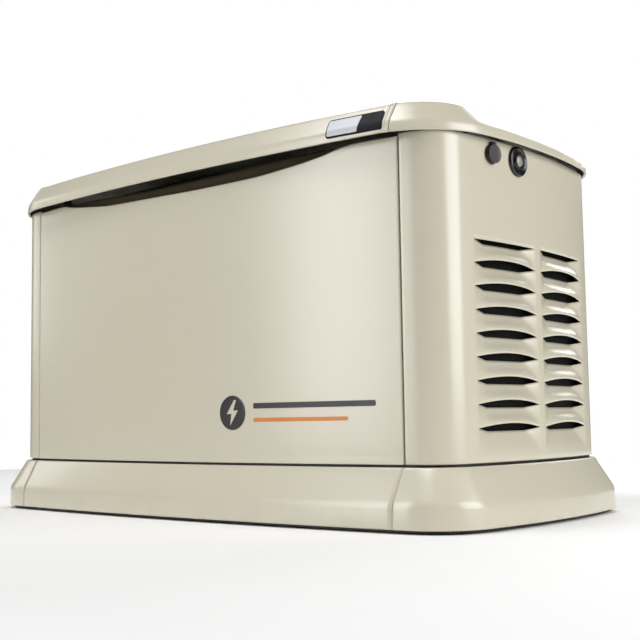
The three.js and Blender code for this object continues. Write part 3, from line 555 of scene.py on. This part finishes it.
def build_end(side):
    st = louvre_stations()
    ys_l = [-L_Y - L_W + s for s in st]                   # first column, ascending y
    e0 = BODY.t2[1]
    lead = [e0 + (ys_l[0] - e0) * k for k in (0.35, 0.7)]
    ys = lead + ys_l + [-4.5, 0.0]
    # front seam to corner, then the end
    path = BODY.right_half(X_SEAM + 1.2, 3, 22, 0, ys=ys)
    back = [np.array([p[0], -p[1], p[2], -p[3]]) for p in path[:-1]][::-1]
    path = path + back
    cols = with_returns(np.array(path))
    nsub = 8
    zs = [112.0]
    for i in range(L_ROWS, 0, -1):
        z0 = L_TOP - i * L_PITCH
        zs += [z0 + L_PITCH * k / nsub for k in range(nsub)]
    zs += [L_TOP, 470, 500, 540, 580, 610]
    rows = wall_rows(Z_PANEL0, Z_PANEL1 + 4.5, zs=zs)
    P = wall_grid(cols, rows)
    ycol = np.array([c[1] for c in cols])
    onend = np.array([abs(c[1]) <= abs(BODY.t2[1]) + 1 and c[0] > 0 for c in cols])
    zrow = np.array([r[0] for r in rows])
    zb = L_TOP - L_ROWS * L_PITCH

    def skip(i, j):
        y = (ycol[i] + ycol[i + 1]) / 2
        z = (zrow[j] + zrow[j + 1]) / 2
        return onend[i] and L_Y < abs(y) < L_Y + L_W and zb < z < L_TOP
    m = Mesh()
    m.grid(P, skip=skip)
    # louvre blades
    for y0 in (-L_Y - L_W, L_Y):
        for i in range(L_ROWS):
            zt, zbot = L_TOP - i * L_PITCH, L_TOP - (i + 1) * L_PITCH
            last = i == L_ROWS - 1
            Q = np.zeros((len(st), nsub + 1, 3))
            for a, s in enumerate(st):
                w = min(s, L_W - s)
                p = BODY.end(y0 + s)
                tt = min(1.0, w / (0.2 * L_W))
                u = s / L_W
                arch = 4 * u * (1 - u)
                ztop, zend = zt - 4.8 * tt, zbot + (0.0 if last else 7.6 * arch)
                for b in range(nsub + 1):
                    v = b / nsub
                    t = 0.0 if w == 0 else min(1.0, w / max(0.2 * L_W * (1 - v), 1e-6))
                    full = -11.6 * (1 - v) ** 1.3
                    z = ztop + (zend - ztop) * v
                    bulge = 0.0 if last else 3.0 * min(1.0, 1.6 * arch) * (smoothstep((v - 0.35) / 0.5) - 0.35 * smoothstep((v - 0.88) / 0.12))
                    Q[a, b] = (p[0] + p[2] * (full * t + bulge), p[1] + p[3] * (full * t + bulge), z)
            m.grid(Q, flip=True)
    name = side + "_end_sheet"
    ob = m.obj(name, merge=0.05, sharp=28, mirror=side == "left")
    mod_solid(ob, 1.5, even=False)
    use(ob, PAINT)
    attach(ob, "enclosure")
    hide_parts(side + "_end_panel")
    # dark screen behind the louvres: a foam-faced baffle held on the inside of the panel; its black is painted shade
    # for the dark interior seen through the slits
    b = Mesh()
    pts = [BODY.end(y) for y in lin(-205, 205, 24)]
    b.grid(np.stack([at(np.array(pts), -16.0, z) for z in (112, 250, 400, 475)], axis=1))
    bo = use(mod_solid(b.obj(side + "_louvre_shade_baffle", mirror=side == "left"), 3.0), SHADE_FOAM)
    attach(bo, "enclosure")


build_end("right")
build_end("left")


def build_back():
    xs = [-X_SEAM + 0.6] + lin(-X_SEAM + 3.4, X_SEAM - 3.4, 60) + [X_SEAM - 0.6]
    cols = with_returns(np.array([BODY.front(x) for x in xs]))
    rows = wall_rows(Z_PANEL0, Z_PANEL1, zs=[112, 130, 150, 200, 300, 400, 500, 560, 600])
    # two pressed stiffening swages across the panel
    def swage(c, z, d):
        if d > 0:
            return 0.0
        return -2.2 * sum(math.exp(-((z - z0) / 7.0) ** 2) for z0 in (270, 460)) * float(smoothstep((430 - abs(c[0])) / 30))
    zs = sorted(set([112, 130, 150, 200, 340, 390, 520, 560, 600] + [z0 + k for z0 in (270, 460) for k in (-16, -12, -8, -5, -2, 0, 2, 5, 8, 12, 16)]))
    rows = wall_rows(Z_PANEL0, Z_PANEL1, zs=zs)
    P = wall_grid(cols, rows, swage)
    P[:, :, 1] *= -1
    m = Mesh()
    m.grid(P, flip=True)
    ob = use(mod_solid(m.obj("back_sheet"), 1.5), PAINT)
    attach(ob, "enclosure")
    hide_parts("back_panel")


build_back()


# ------------------------------------------------------------------ front door
SCALLOP = [(-400, 627.6), (-372, 626.4), (-353, 622), (-279, 612), (-210, 605), (-86, 601), (51, 598.4), (174, 600), (241, 605), (284, 609.5), (325, 615.5), (365, 624), (392, 627.2), (420, 627.6)]
RECESS = [(-400, 627.6), (-353, 627.4), (-279, 626), (-210, 623), (-86, 618.5), (52, 619.5), (174, 624), (284, 627), (346, 627.4), (420, 627.6)]


def curve_at(pts, x):
    """Smooth monotone interpolation through points."""
    xs = np.array([p[0] for p in pts], float)
    ys = np.array([p[1] for p in pts], float)
    if x <= xs[0]:
        return ys[0]
    if x >= xs[-1]:
        return ys[-1]
    d = np.diff(ys) / np.diff(xs)
    m = np.zeros(len(xs))
    for i in range(1, len(xs) - 1):
        m[i] = 0 if d[i - 1] * d[i] <= 0 else 2 / (1 / d[i - 1] + 1 / d[i])
    i = int(np.searchsorted(xs, x) - 1)
    h = xs[i + 1] - xs[i]
    t = (x - xs[i]) / h
    return ((2 * t ** 3 - 3 * t ** 2 + 1) * ys[i] + (t ** 3 - 2 * t ** 2 + t) * h * m[i] + (-2 * t ** 3 + 3 * t ** 2) * ys[i + 1] + (t ** 3 - t ** 2) * h * m[i + 1])


def build_door():
    xe = X_SEAM - 1.2
    xs = [-xe] + lin(-xe + 3, xe - 3, 150) + [xe]
    cols = with_returns(np.array([BODY.front(x) for x in xs]), depth=12, r=2.2)
    P, F = [], []
    for c in cols:
        x, dep = c[0], c[4]
        zt = curve_at(SCALLOP, x)
        zr = max(curve_at(RECESS, x), zt + 0.2)
        col = [(Z_PANEL0, 11.0)]
        for i in range(5):
            t = math.pi / 2 * i / 4
            col.append((Z_PANEL0 + 2.2 * (1 - math.cos(t)), 2.2 * (1 - math.sin(t)) - 0.9 * math.sin(t)))
        col += [(108.5, -0.9), (111.0, -0.7), (112.6, 0.0), (114.5, 0.1), (118, 0.0)]
        top = zt - 3.0
        for k in range(1, 25):
            col.append((118 + (top - 118) * k / 24, 0.0))
        for i in range(1, 6):                                # rolled edge of the grip
            t = math.pi / 2 * i / 5
            col.append((top + 3.0 * math.sin(t), 3.0 * (1 - math.cos(t))))
        col.append((zt - 0.1, 4.6))
        P.append([(c[0] - c[2] * max(dep, d), c[1] - c[3] * max(dep, d), z) for z, d in col])
        if abs(x) < 398:
            fl = [(zt - 5.0, 5.2), (zt - 2.0, 5.2), (zt + 0.3, 6.0)]
            for i in range(1, 6):                            # joggled flange behind the edge
                t = i / 5
                fl.append((zt + 0.3 + (zr - zt - 0.3) * t ** 1.6, 6.0 + 4.5 * (1 - (1 - t) ** 2)))
            F.append([(c[0] - c[2] * d, c[1] - c[3] * d, z) for z, d in fl])
    m = Mesh()
    m.grid(np.array(F))
    # the flange takes the dark olive as painted shade; it is the same bisque paint, shaded by the roof
    fo = use(mod_solid(m.obj("door_grip_flange", sharp=50), 1.2, even=False), PAINTED_SHADE_OLIVE)
    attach(fo, "front_door")
    m = Mesh()
    m.grid(np.array(P))
    ob = use(mod_solid(m.obj("front_door_sheet", sharp=50), 1.5, even=False), PAINT)
    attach(ob, "front_door")
    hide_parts("front_door")
    # black liner behind the grip: a dark piece standing in as painted shade for the dark gap behind the grip under the
    # roof lip
    b = Mesh()
    xs = lin(-398, 438, 80)
    pts = np.array([BODY.front(x) for x in xs])
    z0, z1 = 589.0, 627.4
    lin_p = np.stack([at(pts, -9, z0), at(pts, -24.5, z0), at(pts, -26.5, z0 + 2), at(pts, -26.5, z1)], axis=1)
    b.grid(rounded(lin_p, [1.0, 3.0], 3), flip=False)
    lo = use(mod_solid(b.obj("door_grip_shade_liner"), 1.4, offset=1.0), PLASTIC)
    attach(lo, "front_door")


build_door()


# ------------------------------------------------------------------ roof
def crown(x):
    return (Z_TOP - Z_RIDGE) * (1 - (x / 640.0) ** 2)


def share(s):
    return 1 - (1 - s) ** 1.9


def roof_section(lip, ridge, h, mid, lift=0.0, ncrown=16):
    """Half section for each path point, from inside the rolled hem to the middle; h: crown height, mid: middle point (x, y)."""
    n = len(lip)
    h = np.broadcast_to(np.asarray(h, float), (n,))
    e = np.broadcast_to(np.asarray(lift, float), (n,))
    corners = np.stack([at(lip, -5.2, 634.5), at(lip, -5.2, 629.2), at(lip, 0 + np.minimum(e, 0.0), 629.2), at(lip, e - 1.0, Z_LIP1), at(ridge, e, Z_RIDGE + 0.6 * np.minimum(e, 1.0)),
                        np.zeros((n, 3))], axis=1)
    # first crown point, to give the ridge its tangent
    s1 = 0.10
    rp = at(ridge, 0, Z_RIDGE)
    mid = np.broadcast_to(np.asarray(mid, float), (n, 2))
    def crown_pt(s):
        x = rp[:, 0] + (mid[:, 0] - rp[:, 0]) * s
        y = rp[:, 1] + (mid[:, 1] - rp[:, 1]) * s
        z = rp[:, 2] + share(s) * h + 0.6 * np.minimum(e, 1.0) * (1 - 0.0)
        return np.stack([x, y, z], axis=1)
    corners[:, 5] = crown_pt(s1)
    low = rounded(corners, [2.3, 2.3, 7.6, 5.0], 5, [1, 1, 2, 3, 1])
    rest = [crown_pt(s1 + (1 - s1) * k / ncrown) for k in range(1, ncrown + 1)]
    return np.concatenate([low, np.stack(rest, axis=1)], axis=1)


def bead(t):
    """Height of the double bead next to a seam, t mm from the edge of the middle part."""
    g = lambda c, w: math.exp(-((t - c) / w) ** 2)
    return 0.7 + 1.1 * g(2.6, 1.5) + 0.9 * g(9.0, 1.5) - 0.5 * g(5.8, 1.2) - 0.7 * float(smoothstep((t - 14) / 8))


def build_roof():
    X = X_SEAM - 0.4
    edge = [0, 0.6, 1.2, 1.8, 2.4, 3.0, 3.6, 4.4, 5.2, 6.0, 6.8, 7.6, 8.4, 9.2, 10, 11, 12.5, 14, 16, 19, 22, 26, 32]
    xs = [-X + t for t in edge] + lin(-X + 45, X - 45, 70) + [X - t for t in edge[::-1]]
    lip = np.array([LIP.front(x) for x in xs])
    ridge = np.array([RIDGE.front(x) for x in xs])
    lift = np.array([bead(X - abs(x)) - 0.3 for x in xs])
    h = np.array([crown(x) for x in xs])
    half = roof_section(lip, ridge, h, np.array([[x, 0.0] for x in xs]), lift)
    half[:, -1, 2] = np.minimum(half[:, -1, 2], Z_TOP - 0.05)
    half[:, :, 2] = np.minimum(half[:, :, 2], Z_TOP - 0.05)
    back = half[:, :-1][:, ::-1].copy()
    back[:, :, 1] *= -1
    m = Mesh()
    m.grid(np.concatenate([half, back], axis=1))
    ob = use(mod_solid(m.obj("roof_center_sheet", sharp=40), 1.5, even=False), PAINT)
    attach(ob, "roof")
    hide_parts("roof_center")

    xe = X_SEAM + 0.5
    pl = LIP.right_end(xe, 10, 44, 26, power=1.35)
    pr = RIDGE.right_end(xe, 10, 44, 26, power=1.35)
    sec = roof_section(pl, pr, crown(xe), (xe, 0.0), 0.0)
    sec[0, :, 0] = np.maximum(sec[0, :, 0], xe)
    sec[-1, :, 0] = np.maximum(sec[-1, :, 0], xe)
    sec[:, :, 0] = np.maximum(sec[:, :, 0], xe)
    # the crown falls away a little towards the end
    m = Mesh()
    m.grid(sec)
    for side in ("right", "left"):
        ob = use(mod_solid(m.obj("roof_end_%s_sheet" % side, merge=0.03, sharp=40, mirror=side == "left"), 1.5, even=False), PAINT)
        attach(ob, "roof")
        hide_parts("roof_end_" + side)


build_roof()


def build_shade_gasket():
    # a foam weather seal under the roof lip; its black also serves as painted shade for the dark gap under the lip
    q = LIP.right_end(0.0, 24, 24, 20)
    left = q[1:-1].copy()
    left[:, 0] *= -1
    left[:, 2] *= -1
    path = np.concatenate([q, left[::-1]])
    m = Mesh()
    P = np.stack([at(path, -5.6, 633.6), at(path, -15.5, 633.2), at(path, -15.5, 637.0), at(path, -5.6, 637.4)], axis=1)
    P = rounded(np.concatenate([P, P[:, :1]], axis=1), [0.9, 0.9, 0.9], 3)
    m.grid(P, closed_u=True)
    ob = use(m.obj("roof_gasket_painted_shade", merge=0.01, recalc=True), SHADE_FOAM)
    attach(ob, "roof")


build_shade_gasket()


def roof_front_fn():
    """Depth and normal of the front band at (x, z), from the same rounded section as the roof."""
    cache = {}
    def fn(x, z):
        k = round(x, 2)
        if k not in cache:
            sec = roof_section(np.array([LIP.front(x)]), np.array([RIDGE.front(x)]), crown(x), (x, 0.0), 0.4)[0]
            i0 = next(i for i in range(len(sec)) if sec[i, 2] > 632 and sec[i, 1] < sec[0, 1] - 3)
            cache[k] = sec[i0:i0 + 24]
        s = cache[k]
        z = min(max(z, s[0, 2]), s[-1, 2])
        i = int(np.clip(np.searchsorted(s[:, 2], z) - 1, 0, len(s) - 2))
        t = (z - s[i, 2]) / max(s[i + 1, 2] - s[i, 2], 1e-6)
        p = s[i] + (s[i + 1] - s[i]) * t
        d = s[i + 1] - s[i]
        n = np.array([0, -d[2], d[1]])
        return p, n / np.linalg.norm(n)
    return fn


def rounded_poly(corners, r, n=6):
    out = []
    m = len(corners)
    for i in range(m):
        p0, p, p1 = (np.array(corners[(i + k) % m], float) for k in (-1, 0, 1))
        a, b = (p0 - p) / np.linalg.norm(p0 - p), (p1 - p) / np.linalg.norm(p1 - p)
        A, B = p + a * r, p + b * r
        for j in range(n + 1):
            t = j / n
            out.append((1 - t) ** 2 * A + 2 * t * (1 - t) * p + t * t * B)
    return out


def plate_on(name, polys_height, place, mat, body, rings=5):
    """A thin domed plate: the outline polygon shrinks in rings towards its centre; place(u, v, h) puts it on a surface."""
    rough_poly = [np.array(q, float) for q in polys_height[0]]
    poly = []
    for i, q in enumerate(rough_poly):
        nx = rough_poly[(i + 1) % len(rough_poly)]
        k = max(1, int(np.linalg.norm(nx - q) / 3.0))
        poly += [q + (nx - q) * t / k for t in range(k)]
    poly = np.array(poly)
    h = polys_height[1]
    c = poly.mean(axis=0)
    m = Mesh()
    prof = [(1.0, 0.0), (1.0, h * 0.7), (0.992, h)] + [(0.992 * (1 - k / rings), h) for k in range(1, rings)]
    P = []
    for q in poly:
        P.append([place(*(c + (q - c) * s), hh) for s, hh in prof])
    o = m.grid(np.array(P), closed_u=True)
    k = len(prof)
    mid = m.add([place(*c, h)], [])
    n = len(poly)
    m.f += [(o + i * k + k - 1, o + ((i + 1) % n) * k + k - 1, mid) for i in range(n)]
    ob = use(m.obj(name, merge=0.001, sharp=40, recalc=False), mat)
    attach(ob, body)
    return ob


def build_badge():
    fn = roof_front_fn()
    def place(u, v, hh):
        p, n = fn(u, v)
        return p + np.array([0, -0.89, 0.456]) * hh
    z = lambda s: 645 + 36 * s
    C = [(354.5, z(-0.27)), (467.0 - 4, z(-0.30)), (459.5, z(0.66)), (351.0, z(0.68))]
    plate_on("roof_badge_frame", (rounded_poly(C, 5.5), 1.3), place, BADGE_DARK, "roof", rings=26)
    def inset(c, d):
        c = np.array(c, float)
        mid = c.mean(axis=0)
        out = []
        for p in c:
            s = np.sign(p - mid)
            out.append(p - s * d)
        return [tuple(q) for q in out]
    I = inset(C, 2.5)
    w = 0.60
    bl, br, tr, tl = I
    lerp = lambda a, b, t: (a[0] + (b[0] - a[0]) * t, a[1] + (b[1] - a[1]) * t)
    mb, mt = lerp(bl, br, w - 0.03), lerp(tl, tr, w + 0.02)
    plate_on("roof_badge_silver", (rounded_poly([bl, mb, mt, tl], 2.6), 1.75), place, SILVER, "roof", rings=26)
    mb2, mt2 = lerp(bl, br, w - 0.01), lerp(tl, tr, w + 0.04)
    plate_on("roof_badge_dark", (rounded_poly([mb2, br, tr, mt2], 2.6), 1.75), place, BADGE_DARK, "roof", rings=26)


build_badge()


# ------------------------------------------------------------------ plain emblem on the door: a disc with a bolt, and one slim bar
def build_emblem():
    def place(u, v, hh):
        p = BODY.front(u)
        return (p[0] + p[2] * hh, p[1] + p[3] * hh, v)
    cx, cz, R = 128.0, 190.0, 30.0
    ring = [(cx + R * math.cos(t), cz + R * math.sin(t)) for t in (2 * math.pi * i / 64 for i in range(64))]
    plate_on("door_emblem_disc", (ring, 0.45), place, CHARCOAL, "front_door", rings=8)
    bolt = [(4, 22), (-13, -2), (-2, -2), (-5, -22), (13, 4), (2, 4), (9, 22)]
    m = Mesh()
    pts = [(cx + a, cz + b) for a, b in bolt[::-1]]
    n = len(pts)
    lo = m.add([place(a, b, 0.3) for a, b in pts], [])
    hi = m.add([place(a, b, 0.95) for a, b in pts], [])
    m.f += [tuple(hi + i for i in range(n))[::-1]]
    m.f += [(lo + i, lo + (i + 1) % n, hi + (i + 1) % n, hi + i) for i in range(n)]
    m.f += [tuple(lo + i for i in range(n))]
    ob = m.obj("door_emblem_bolt", merge=0.0001, recalc=True)
    bm = bmesh.new(); bm.from_mesh(ob.data); bmesh.ops.triangulate(bm, faces=bm.faces); bm.to_mesh(ob.data); bm.free()
    use(ob, PAINT)
    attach(ob, "front_door")
    for name, z0, z1, x0, x1, mt in (("door_emblem_bar", 196.5, 206.0, 176.0, 424.0, CHARCOAL), ("door_emblem_line", 174.0, 180.5, 176.0, 372.0, AMBER)):
        seg = rounded_poly([(x0, z0), (x1, z0), (x1, z1), (x0, z1)], 3.0, 4)
        dense = []
        for i, q in enumerate(seg):
            nx = seg[(i + 1) % len(seg)]
            k = 24 if abs(nx[0] - q[0]) > 50 else 1
            dense += [q + (nx - q) * t / k for t in range(k)]
        m = Mesh()
        P = []
        zm = (z0 + z1) / 2
        for q in dense:
            P.append([place(q[0], q[1], 0.05), place(q[0], q[1], 0.4), place(q[0], zm + (q[1] - zm) * 0.5, 0.45), place(min(max(q[0], x0 + 3), x1 - 3), zm, 0.45)])
        m.grid(np.array(P), closed_u=True)
        ob = use(m.obj(name, merge=0.001), mt)
        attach(ob, "front_door")


build_emblem()


# ------------------------------------------------------------------ locks and status lamp
def end_matrix(y, z, side=1):
    a = math.asin(y / BODY.Re)
    p = BODY.end(y)
    c, s = math.cos(a), math.sin(a)
    M = Matrix(((c, -s, 0, p[0]), (s, c, 0, p[1]), (0, 0, 1, z), (0, 0, 0, 1)))
    if side < 0:
        M = Matrix.Diagonal((-1, 1, 1, 1)) @ M
    return M


def placed(m, M, name, sharp=40, flip=False, recalc=True, merge=0.01):
    m.v = [tuple(M @ Vector(p)) for p in m.v]
    return m.obj(name, merge=merge, sharp=sharp, recalc=recalc)


def build_hardware():
    for side, s in (("right", 1), ("left", -1)):
        M = end_matrix(LOCK_Y, LOCK_Z, s)
        m = Mesh()
        m.lathe([(9.4, -19), (9.4, 5.6), (10.4, 6.8), (13.2, 6.9), (14.4, 6.2), (14.9, 4.6), (15.2, 1.8), (16.5, 1.3), (16.5, 0.35), (12.0, 0.35), (12.0, -19), (9.4, -19)], 64)
        m.box((0.4, -5.4, 12.6), (3.4, 5.4, 19.8))
        m.box((3.2, -5.4, 16.0), (7.8, -3.5, 20.0))
        m.box((3.2, 3.5, 16.0), (7.8, 5.4, 20.0))
        hb = placed(m, M, "lock_%s_body" % side)
        mod_bevel(hb, 0.5, 2)
        use(hb, PLASTIC)
        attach(hb, "enclosure"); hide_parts("lock_%s_housing" % side)
        # cover flap: a dished disc with a raised rim and a hinge knuckle
        m = Mesh()
        m.lathe([(0.01, 9.0), (9.0, 9.1), (12.6, 9.3), (14.0, 9.9), (15.0, 9.9), (15.6, 9.2), (15.7, 7.9), (15.2, 7.3), (0.01, 7.3)], 64)
        m.box((7.0, -2.9, 12.5), (9.0, 2.9, 17.6)); m.box((6.3, -2.9, 15.6), (9.0, 2.9, 18.6))
        k = Mesh()
        k.lathe([(1.3, -3.0), (2.1, -3.0), (2.1, 3.0), (1.3, 3.0), (1.3, -3.0)], 24)
        m.add([(6.2 + p[1], p[0], 18.2 + p[2]) for p in k.v], k.f)
        cv = placed(m, M, "lock_%s_flap" % side)
        mod_bevel(cv, 0.35, 2)
        use(cv, COVER)
        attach(cv, "lock_%s_cover" % side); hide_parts("lock_%s_cover" % side)
    M = end_matrix(LAMP_Y, LAMP_Z)
    m = Mesh()
    m.lathe([(10.3, -19), (10.3, 4.8), (10.9, 6.6), (12.2, 7.4), (13.6, 7.2), (14.7, 5.6), (15.5, 2.9), (17.0, 2.5), (19.0, 3.0), (21.0, 4.9), (22.6, 5.6), (24.4, 5.0), (25.6, 3.4), (26.0, 1.8), (26.0, 0.35), (18.0, 0.35), (18.0, -19), (10.3, -19)], 96)
    bz = use(placed(m, M, "lamp_ring"), PLASTIC_GLOSS)
    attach(bz, "enclosure"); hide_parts("status_lamp_bezel")
    m = Mesh()
    prof = [(0.01, -14), (10.0, -14), (10.0, 3.6)] + [(10.0 * math.cos(t), 3.6 + 4.4 * math.sin(t)) for t in (math.pi / 2 * i / 8 for i in range(1, 8))] + [(0.01, 8.0)]
    m.lathe(prof, 72)
    ln = use(placed(m, M, "lamp_dome"), LENS)
    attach(ln, "enclosure"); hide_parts("status_lamp_lens")


build_hardware()

# ------------------------------------------------------------------ finishes of the carried-over nodes
FINISH = {
    "base_frame": BLACK, "enclosure_frame": GALV, "divider_panel": GALV, "hinge_left": GALV, "hinge_right": GALV, "lid_hinge_left": GALV,
    "lid_hinge_right": GALV, "roof_catch_right": GALV, "roof_catch_left": GALV, "lock_left_cylinder": LOCK, "lock_right_cylinder": LOCK,
    "crankcase": ENGINE, "dipstick": YELLOW, "cylinder_front": ALLOY, "cylinder_rear": ALLOY, "valve_cover_front": ENGINE, "valve_cover_rear": ENGINE,
    "blower_housing": PLASTIC, "flywheel_fan": IRON, "crankshaft": STEEL, "alternator_housing": ENGINE, "alternator_rotor": COPPER,
    "starter_motor": ENGINE, "oil_filter": FILTER, "engine_isolators": RUBBER, "alternator_isolators": RUBBER, "fuel_mixer": ALLOY,
    "airbox_base": PLASTIC, "airbox_cover": PLASTIC, "fuel_regulator": ALLOY, "fuel_inlet": STEEL, "fuel_hose": RUBBER, "muffler": EXHAUST,
    "exhaust_pipe_front": EXHAUST, "exhaust_pipe_rear": EXHAUST, "battery": BATT, "control_box": GREY, "display_window": DISPLAY,
    "button_auto": KEY, "button_manual": KEY, "button_off": KEY, "breaker_body": PLASTIC, "breaker_toggle": TOGGLE,
}
for n, o in NODES.items():
    if n in FINISH:
        use(o, FINISH[n])
        o.data.set_sharp_from_angle(angle=math.radians(32))

# ------------------------------------------------------------------ small fittings inside
def tube(name, pts, r, mat, body, nseg=14, steps=10):
    """A round lead or pipe through the given points (mm), smoothed, with closed ends."""
    P = [Vector(p) for p in pts]
    P = [P[0] * 2 - P[1]] + P + [P[-1] * 2 - P[-2]]
    path = []
    for i in range(1, len(P) - 2):
        for k in range(steps):
            t = k / steps
            a0, a1, a2, a3 = P[i - 1], P[i], P[i + 1], P[i + 2]
            path.append(0.5 * ((2 * a1) + (a2 - a0) * t + (2 * a0 - 5 * a1 + 4 * a2 - a3) * t * t + (3 * a1 - a0 - 3 * a2 + a3) * t ** 3))
    path.append(P[-2])
    up = Vector((0.13, 0.21, 0.97))
    rings = []
    for i, p in enumerate(path):
        d = (path[min(i + 1, len(path) - 1)] - path[max(i - 1, 0)]).normalized()
        u = d.cross(up).normalized()
        v = d.cross(u).normalized()
        rings.append([tuple(p + (u * math.cos(t) + v * math.sin(t)) * r) for t in (2 * math.pi * j / nseg for j in range(nseg))])
    m = Mesh()
    m.v = [q for ring in rings for q in ring]
    n = len(rings)
    m.f = [(i * nseg + j, i * nseg + (j + 1) % nseg, (i + 1) * nseg + (j + 1) % nseg, (i + 1) * nseg + j) for i in range(n - 1) for j in range(nseg)]
    m.f += [tuple(range(nseg))[::-1], tuple((n - 1) * nseg + j for j in range(nseg))]
    ob = use(m.obj(name, sharp=50, recalc=True), mat)
    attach(ob, body)
    return ob


def node_box(name):
    lo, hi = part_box(name)
    return [c * 1000 for c in lo], [c * 1000 for c in hi]


def bolts(name, spots, mat, body, r=5.0, h=4.0):
    """Hexagon heads on washers, standing up from the given points (mm)."""
    m = Mesh()
    for x, y, z in spots:
        for rr, z0, z1, k in ((r * 1.45, -0.6, 1.1, 20), (r, 1.0, 1.0 + h, 6)):
            o = len(m.v)
            m.v += [(x + rr * math.cos(2 * math.pi * j / k), y + rr * math.sin(2 * math.pi * j / k), z + zz) for zz in (z0, z1) for j in range(k)]
            m.f += [(o + j, o + (j + 1) % k, o + k + (j + 1) % k, o + k + j) for j in range(k)]
            m.f += [tuple(o + j for j in range(k))[::-1], tuple(o + k + j for j in range(k))]
    ob = m.obj(name, sharp=30, recalc=True)
    mod_bevel(ob, 0.3, 1)
    use(ob, mat)
    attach(ob, body)
    return ob


def build_fittings():
    # battery: posts with clamps on top, the leads to the starter and to the frame
    bolts("battery_terminals", [(355, -170, 218.5), (447, -170, 218.5)], STEEL, "enclosure", 6.5, 9.0)
    tube("battery_lead_red", [(355, -170, 227), (350, -176, 262), (318, -182, 300), (262, -172, 292), (238, -150, 262), (228, -134, 243)], 4.2, LEAD_RED, "enclosure")
    tube("battery_lead_black", [(447, -170, 227), (455, -176, 258), (470, -130, 300), (478, -60, 330), (470, 0, 380), (455, 40, 428)], 4.2, RUBBER, "enclosure")
    # ignition leads from the valve side of each cylinder back over the blower housing
    tube("ignition_lead_front", [(205, -160, 462), (222, -150, 486), (244, -110, 480), (262, -70, 440), (268, -40, 404)], 3.4, RUBBER, "enclosure")
    tube("ignition_lead_rear", [(178, 168, 462), (206, 160, 486), (238, 118, 482), (262, 72, 440), (268, 40, 404)], 3.4, RUBBER, "enclosure")
    # air cleaner cover: four knob screws; control box: cover screws
    bolts("airbox_screws", [(112, -102, 577.6), (284, -102, 577.6), (112, 102, 577.6), (284, 102, 577.6)], STEEL, "airbox_cover", 4.0, 3.0)
    bolts("control_box_screws", [(335, -140, 512), (474, -140, 512), (334, 194, 584.6), (474, 194, 584.6), (474, 30, 584.6), (334, 30, 584.6)][2:], STEEL, "enclosure", 3.2, 2.2)
    # wiring loom from the control box down the divider side of the frame
    tube("control_loom", [(330, 120, 470), (316, 126, 452), (300, 150, 420), (292, 182, 380), (290, 208, 300), (282, 214, 240), (262, 210, 190)], 6.0, RUBBER, "enclosure")
    tube("generator_cable", [(330, 60, 455), (318, 64, 470), (290, 170, 478), (200, 224, 478), (40, 226, 470), (-60, 200, 430), (-100, 140, 390), (-100, 100, 366)], 8.5, RUBBER, "enclosure")


build_fittings()

# ------------------------------------------------------------------ stage and light
def build_stage():
    me = bpy.data.meshes.new("floor")
    n = 96
    P = [(2.4 * math.cos(2 * math.pi * i / n), 2.4 * math.sin(2 * math.pi * i / n), 0.0) for i in range(n)] + [(0.0, 0.0, 0.0)]
    F = [(i, (i + 1) % n, n) for i in range(n)]
    me.from_pydata(P, [], F)
    floor = bpy.data.objects.new("floor", me)
    scene.collection.objects.link(floor)
    m, nt, b = new_mat("floor_white")
    co = coords(nt)
    nt.links.new(ramp(nt, noise(nt, co, 3, 3), [(0.3, (0.93, 0.93, 0.93)), (0.7, (0.95, 0.95, 0.95))]), b.inputs["Base Color"])
    b.inputs["Roughness"].default_value = 0.9
    b.inputs["Specular IOR Level"].default_value = 0.1
    use(floor, m)


build_stage()

w = bpy.data.worlds.new("studio")
scene.world = w
w.use_nodes = True
nt = w.node_tree
nt.nodes.clear()
wo = nt.nodes.new("ShaderNodeOutputWorld")
bg_light = nt.nodes.new("ShaderNodeBackground")
bg_cam = nt.nodes.new("ShaderNodeBackground")
mixn = nt.nodes.new("ShaderNodeMixShader")
lp = nt.nodes.new("ShaderNodeLightPath")
bg_light.inputs[0].default_value = (1, 1, 1, 1)
bg_light.inputs[1].default_value = 0.05
bg_cam.inputs[0].default_value = (1, 1, 1, 1)
bg_cam.inputs[1].default_value = 1.0
nt.links.new(lp.outputs["Is Camera Ray"], mixn.inputs[0])
nt.links.new(bg_light.outputs[0], mixn.inputs[1])
nt.links.new(bg_cam.outputs[0], mixn.inputs[2])
nt.links.new(mixn.outputs[0], wo.inputs[0])


def area(name, loc, target, size, power, color=(1, 1, 1)):
    l = bpy.data.lights.new(name, "AREA")
    l.shape = "RECTANGLE"
    l.size, l.size_y = size
    l.energy = power
    l.color = color
    ob = bpy.data.objects.new(name, l)
    ob.location = loc
    ob.rotation_euler = (Vector(target) - Vector(loc)).to_track_quat("-Z", "Y").to_euler()
    scene.collection.objects.link(ob)
    return ob


area("key_softbox", (-1.0, -2.95, 1.3), (0.1, -0.3, 0.45), (0.85, 2.6), 40)
area("left_softbox", (-3.6, -1.0, 1.4), (-0.3, -0.2, 0.45), (0.7, 1.8), 9)
area("right_softbox", (3.3, 0.2, 1.3), (0.5, 0, 0.35), (2.0, 2.2), 74)
area("top_softbox", (-0.2, -1.2, 3.0), (0.1, -0.2, 0.4), (2.2, 1.0), 46)
area("back_softbox", (-0.6, 2.9, 2.3), (0, 0.9, 0.2), (3.2, 2.0), 100)

scene.view_settings.view_transform = "Standard"
scene.view_settings.look = "None"
scene.view_settings.exposure = 0.0
scene.view_settings.gamma = 1.0
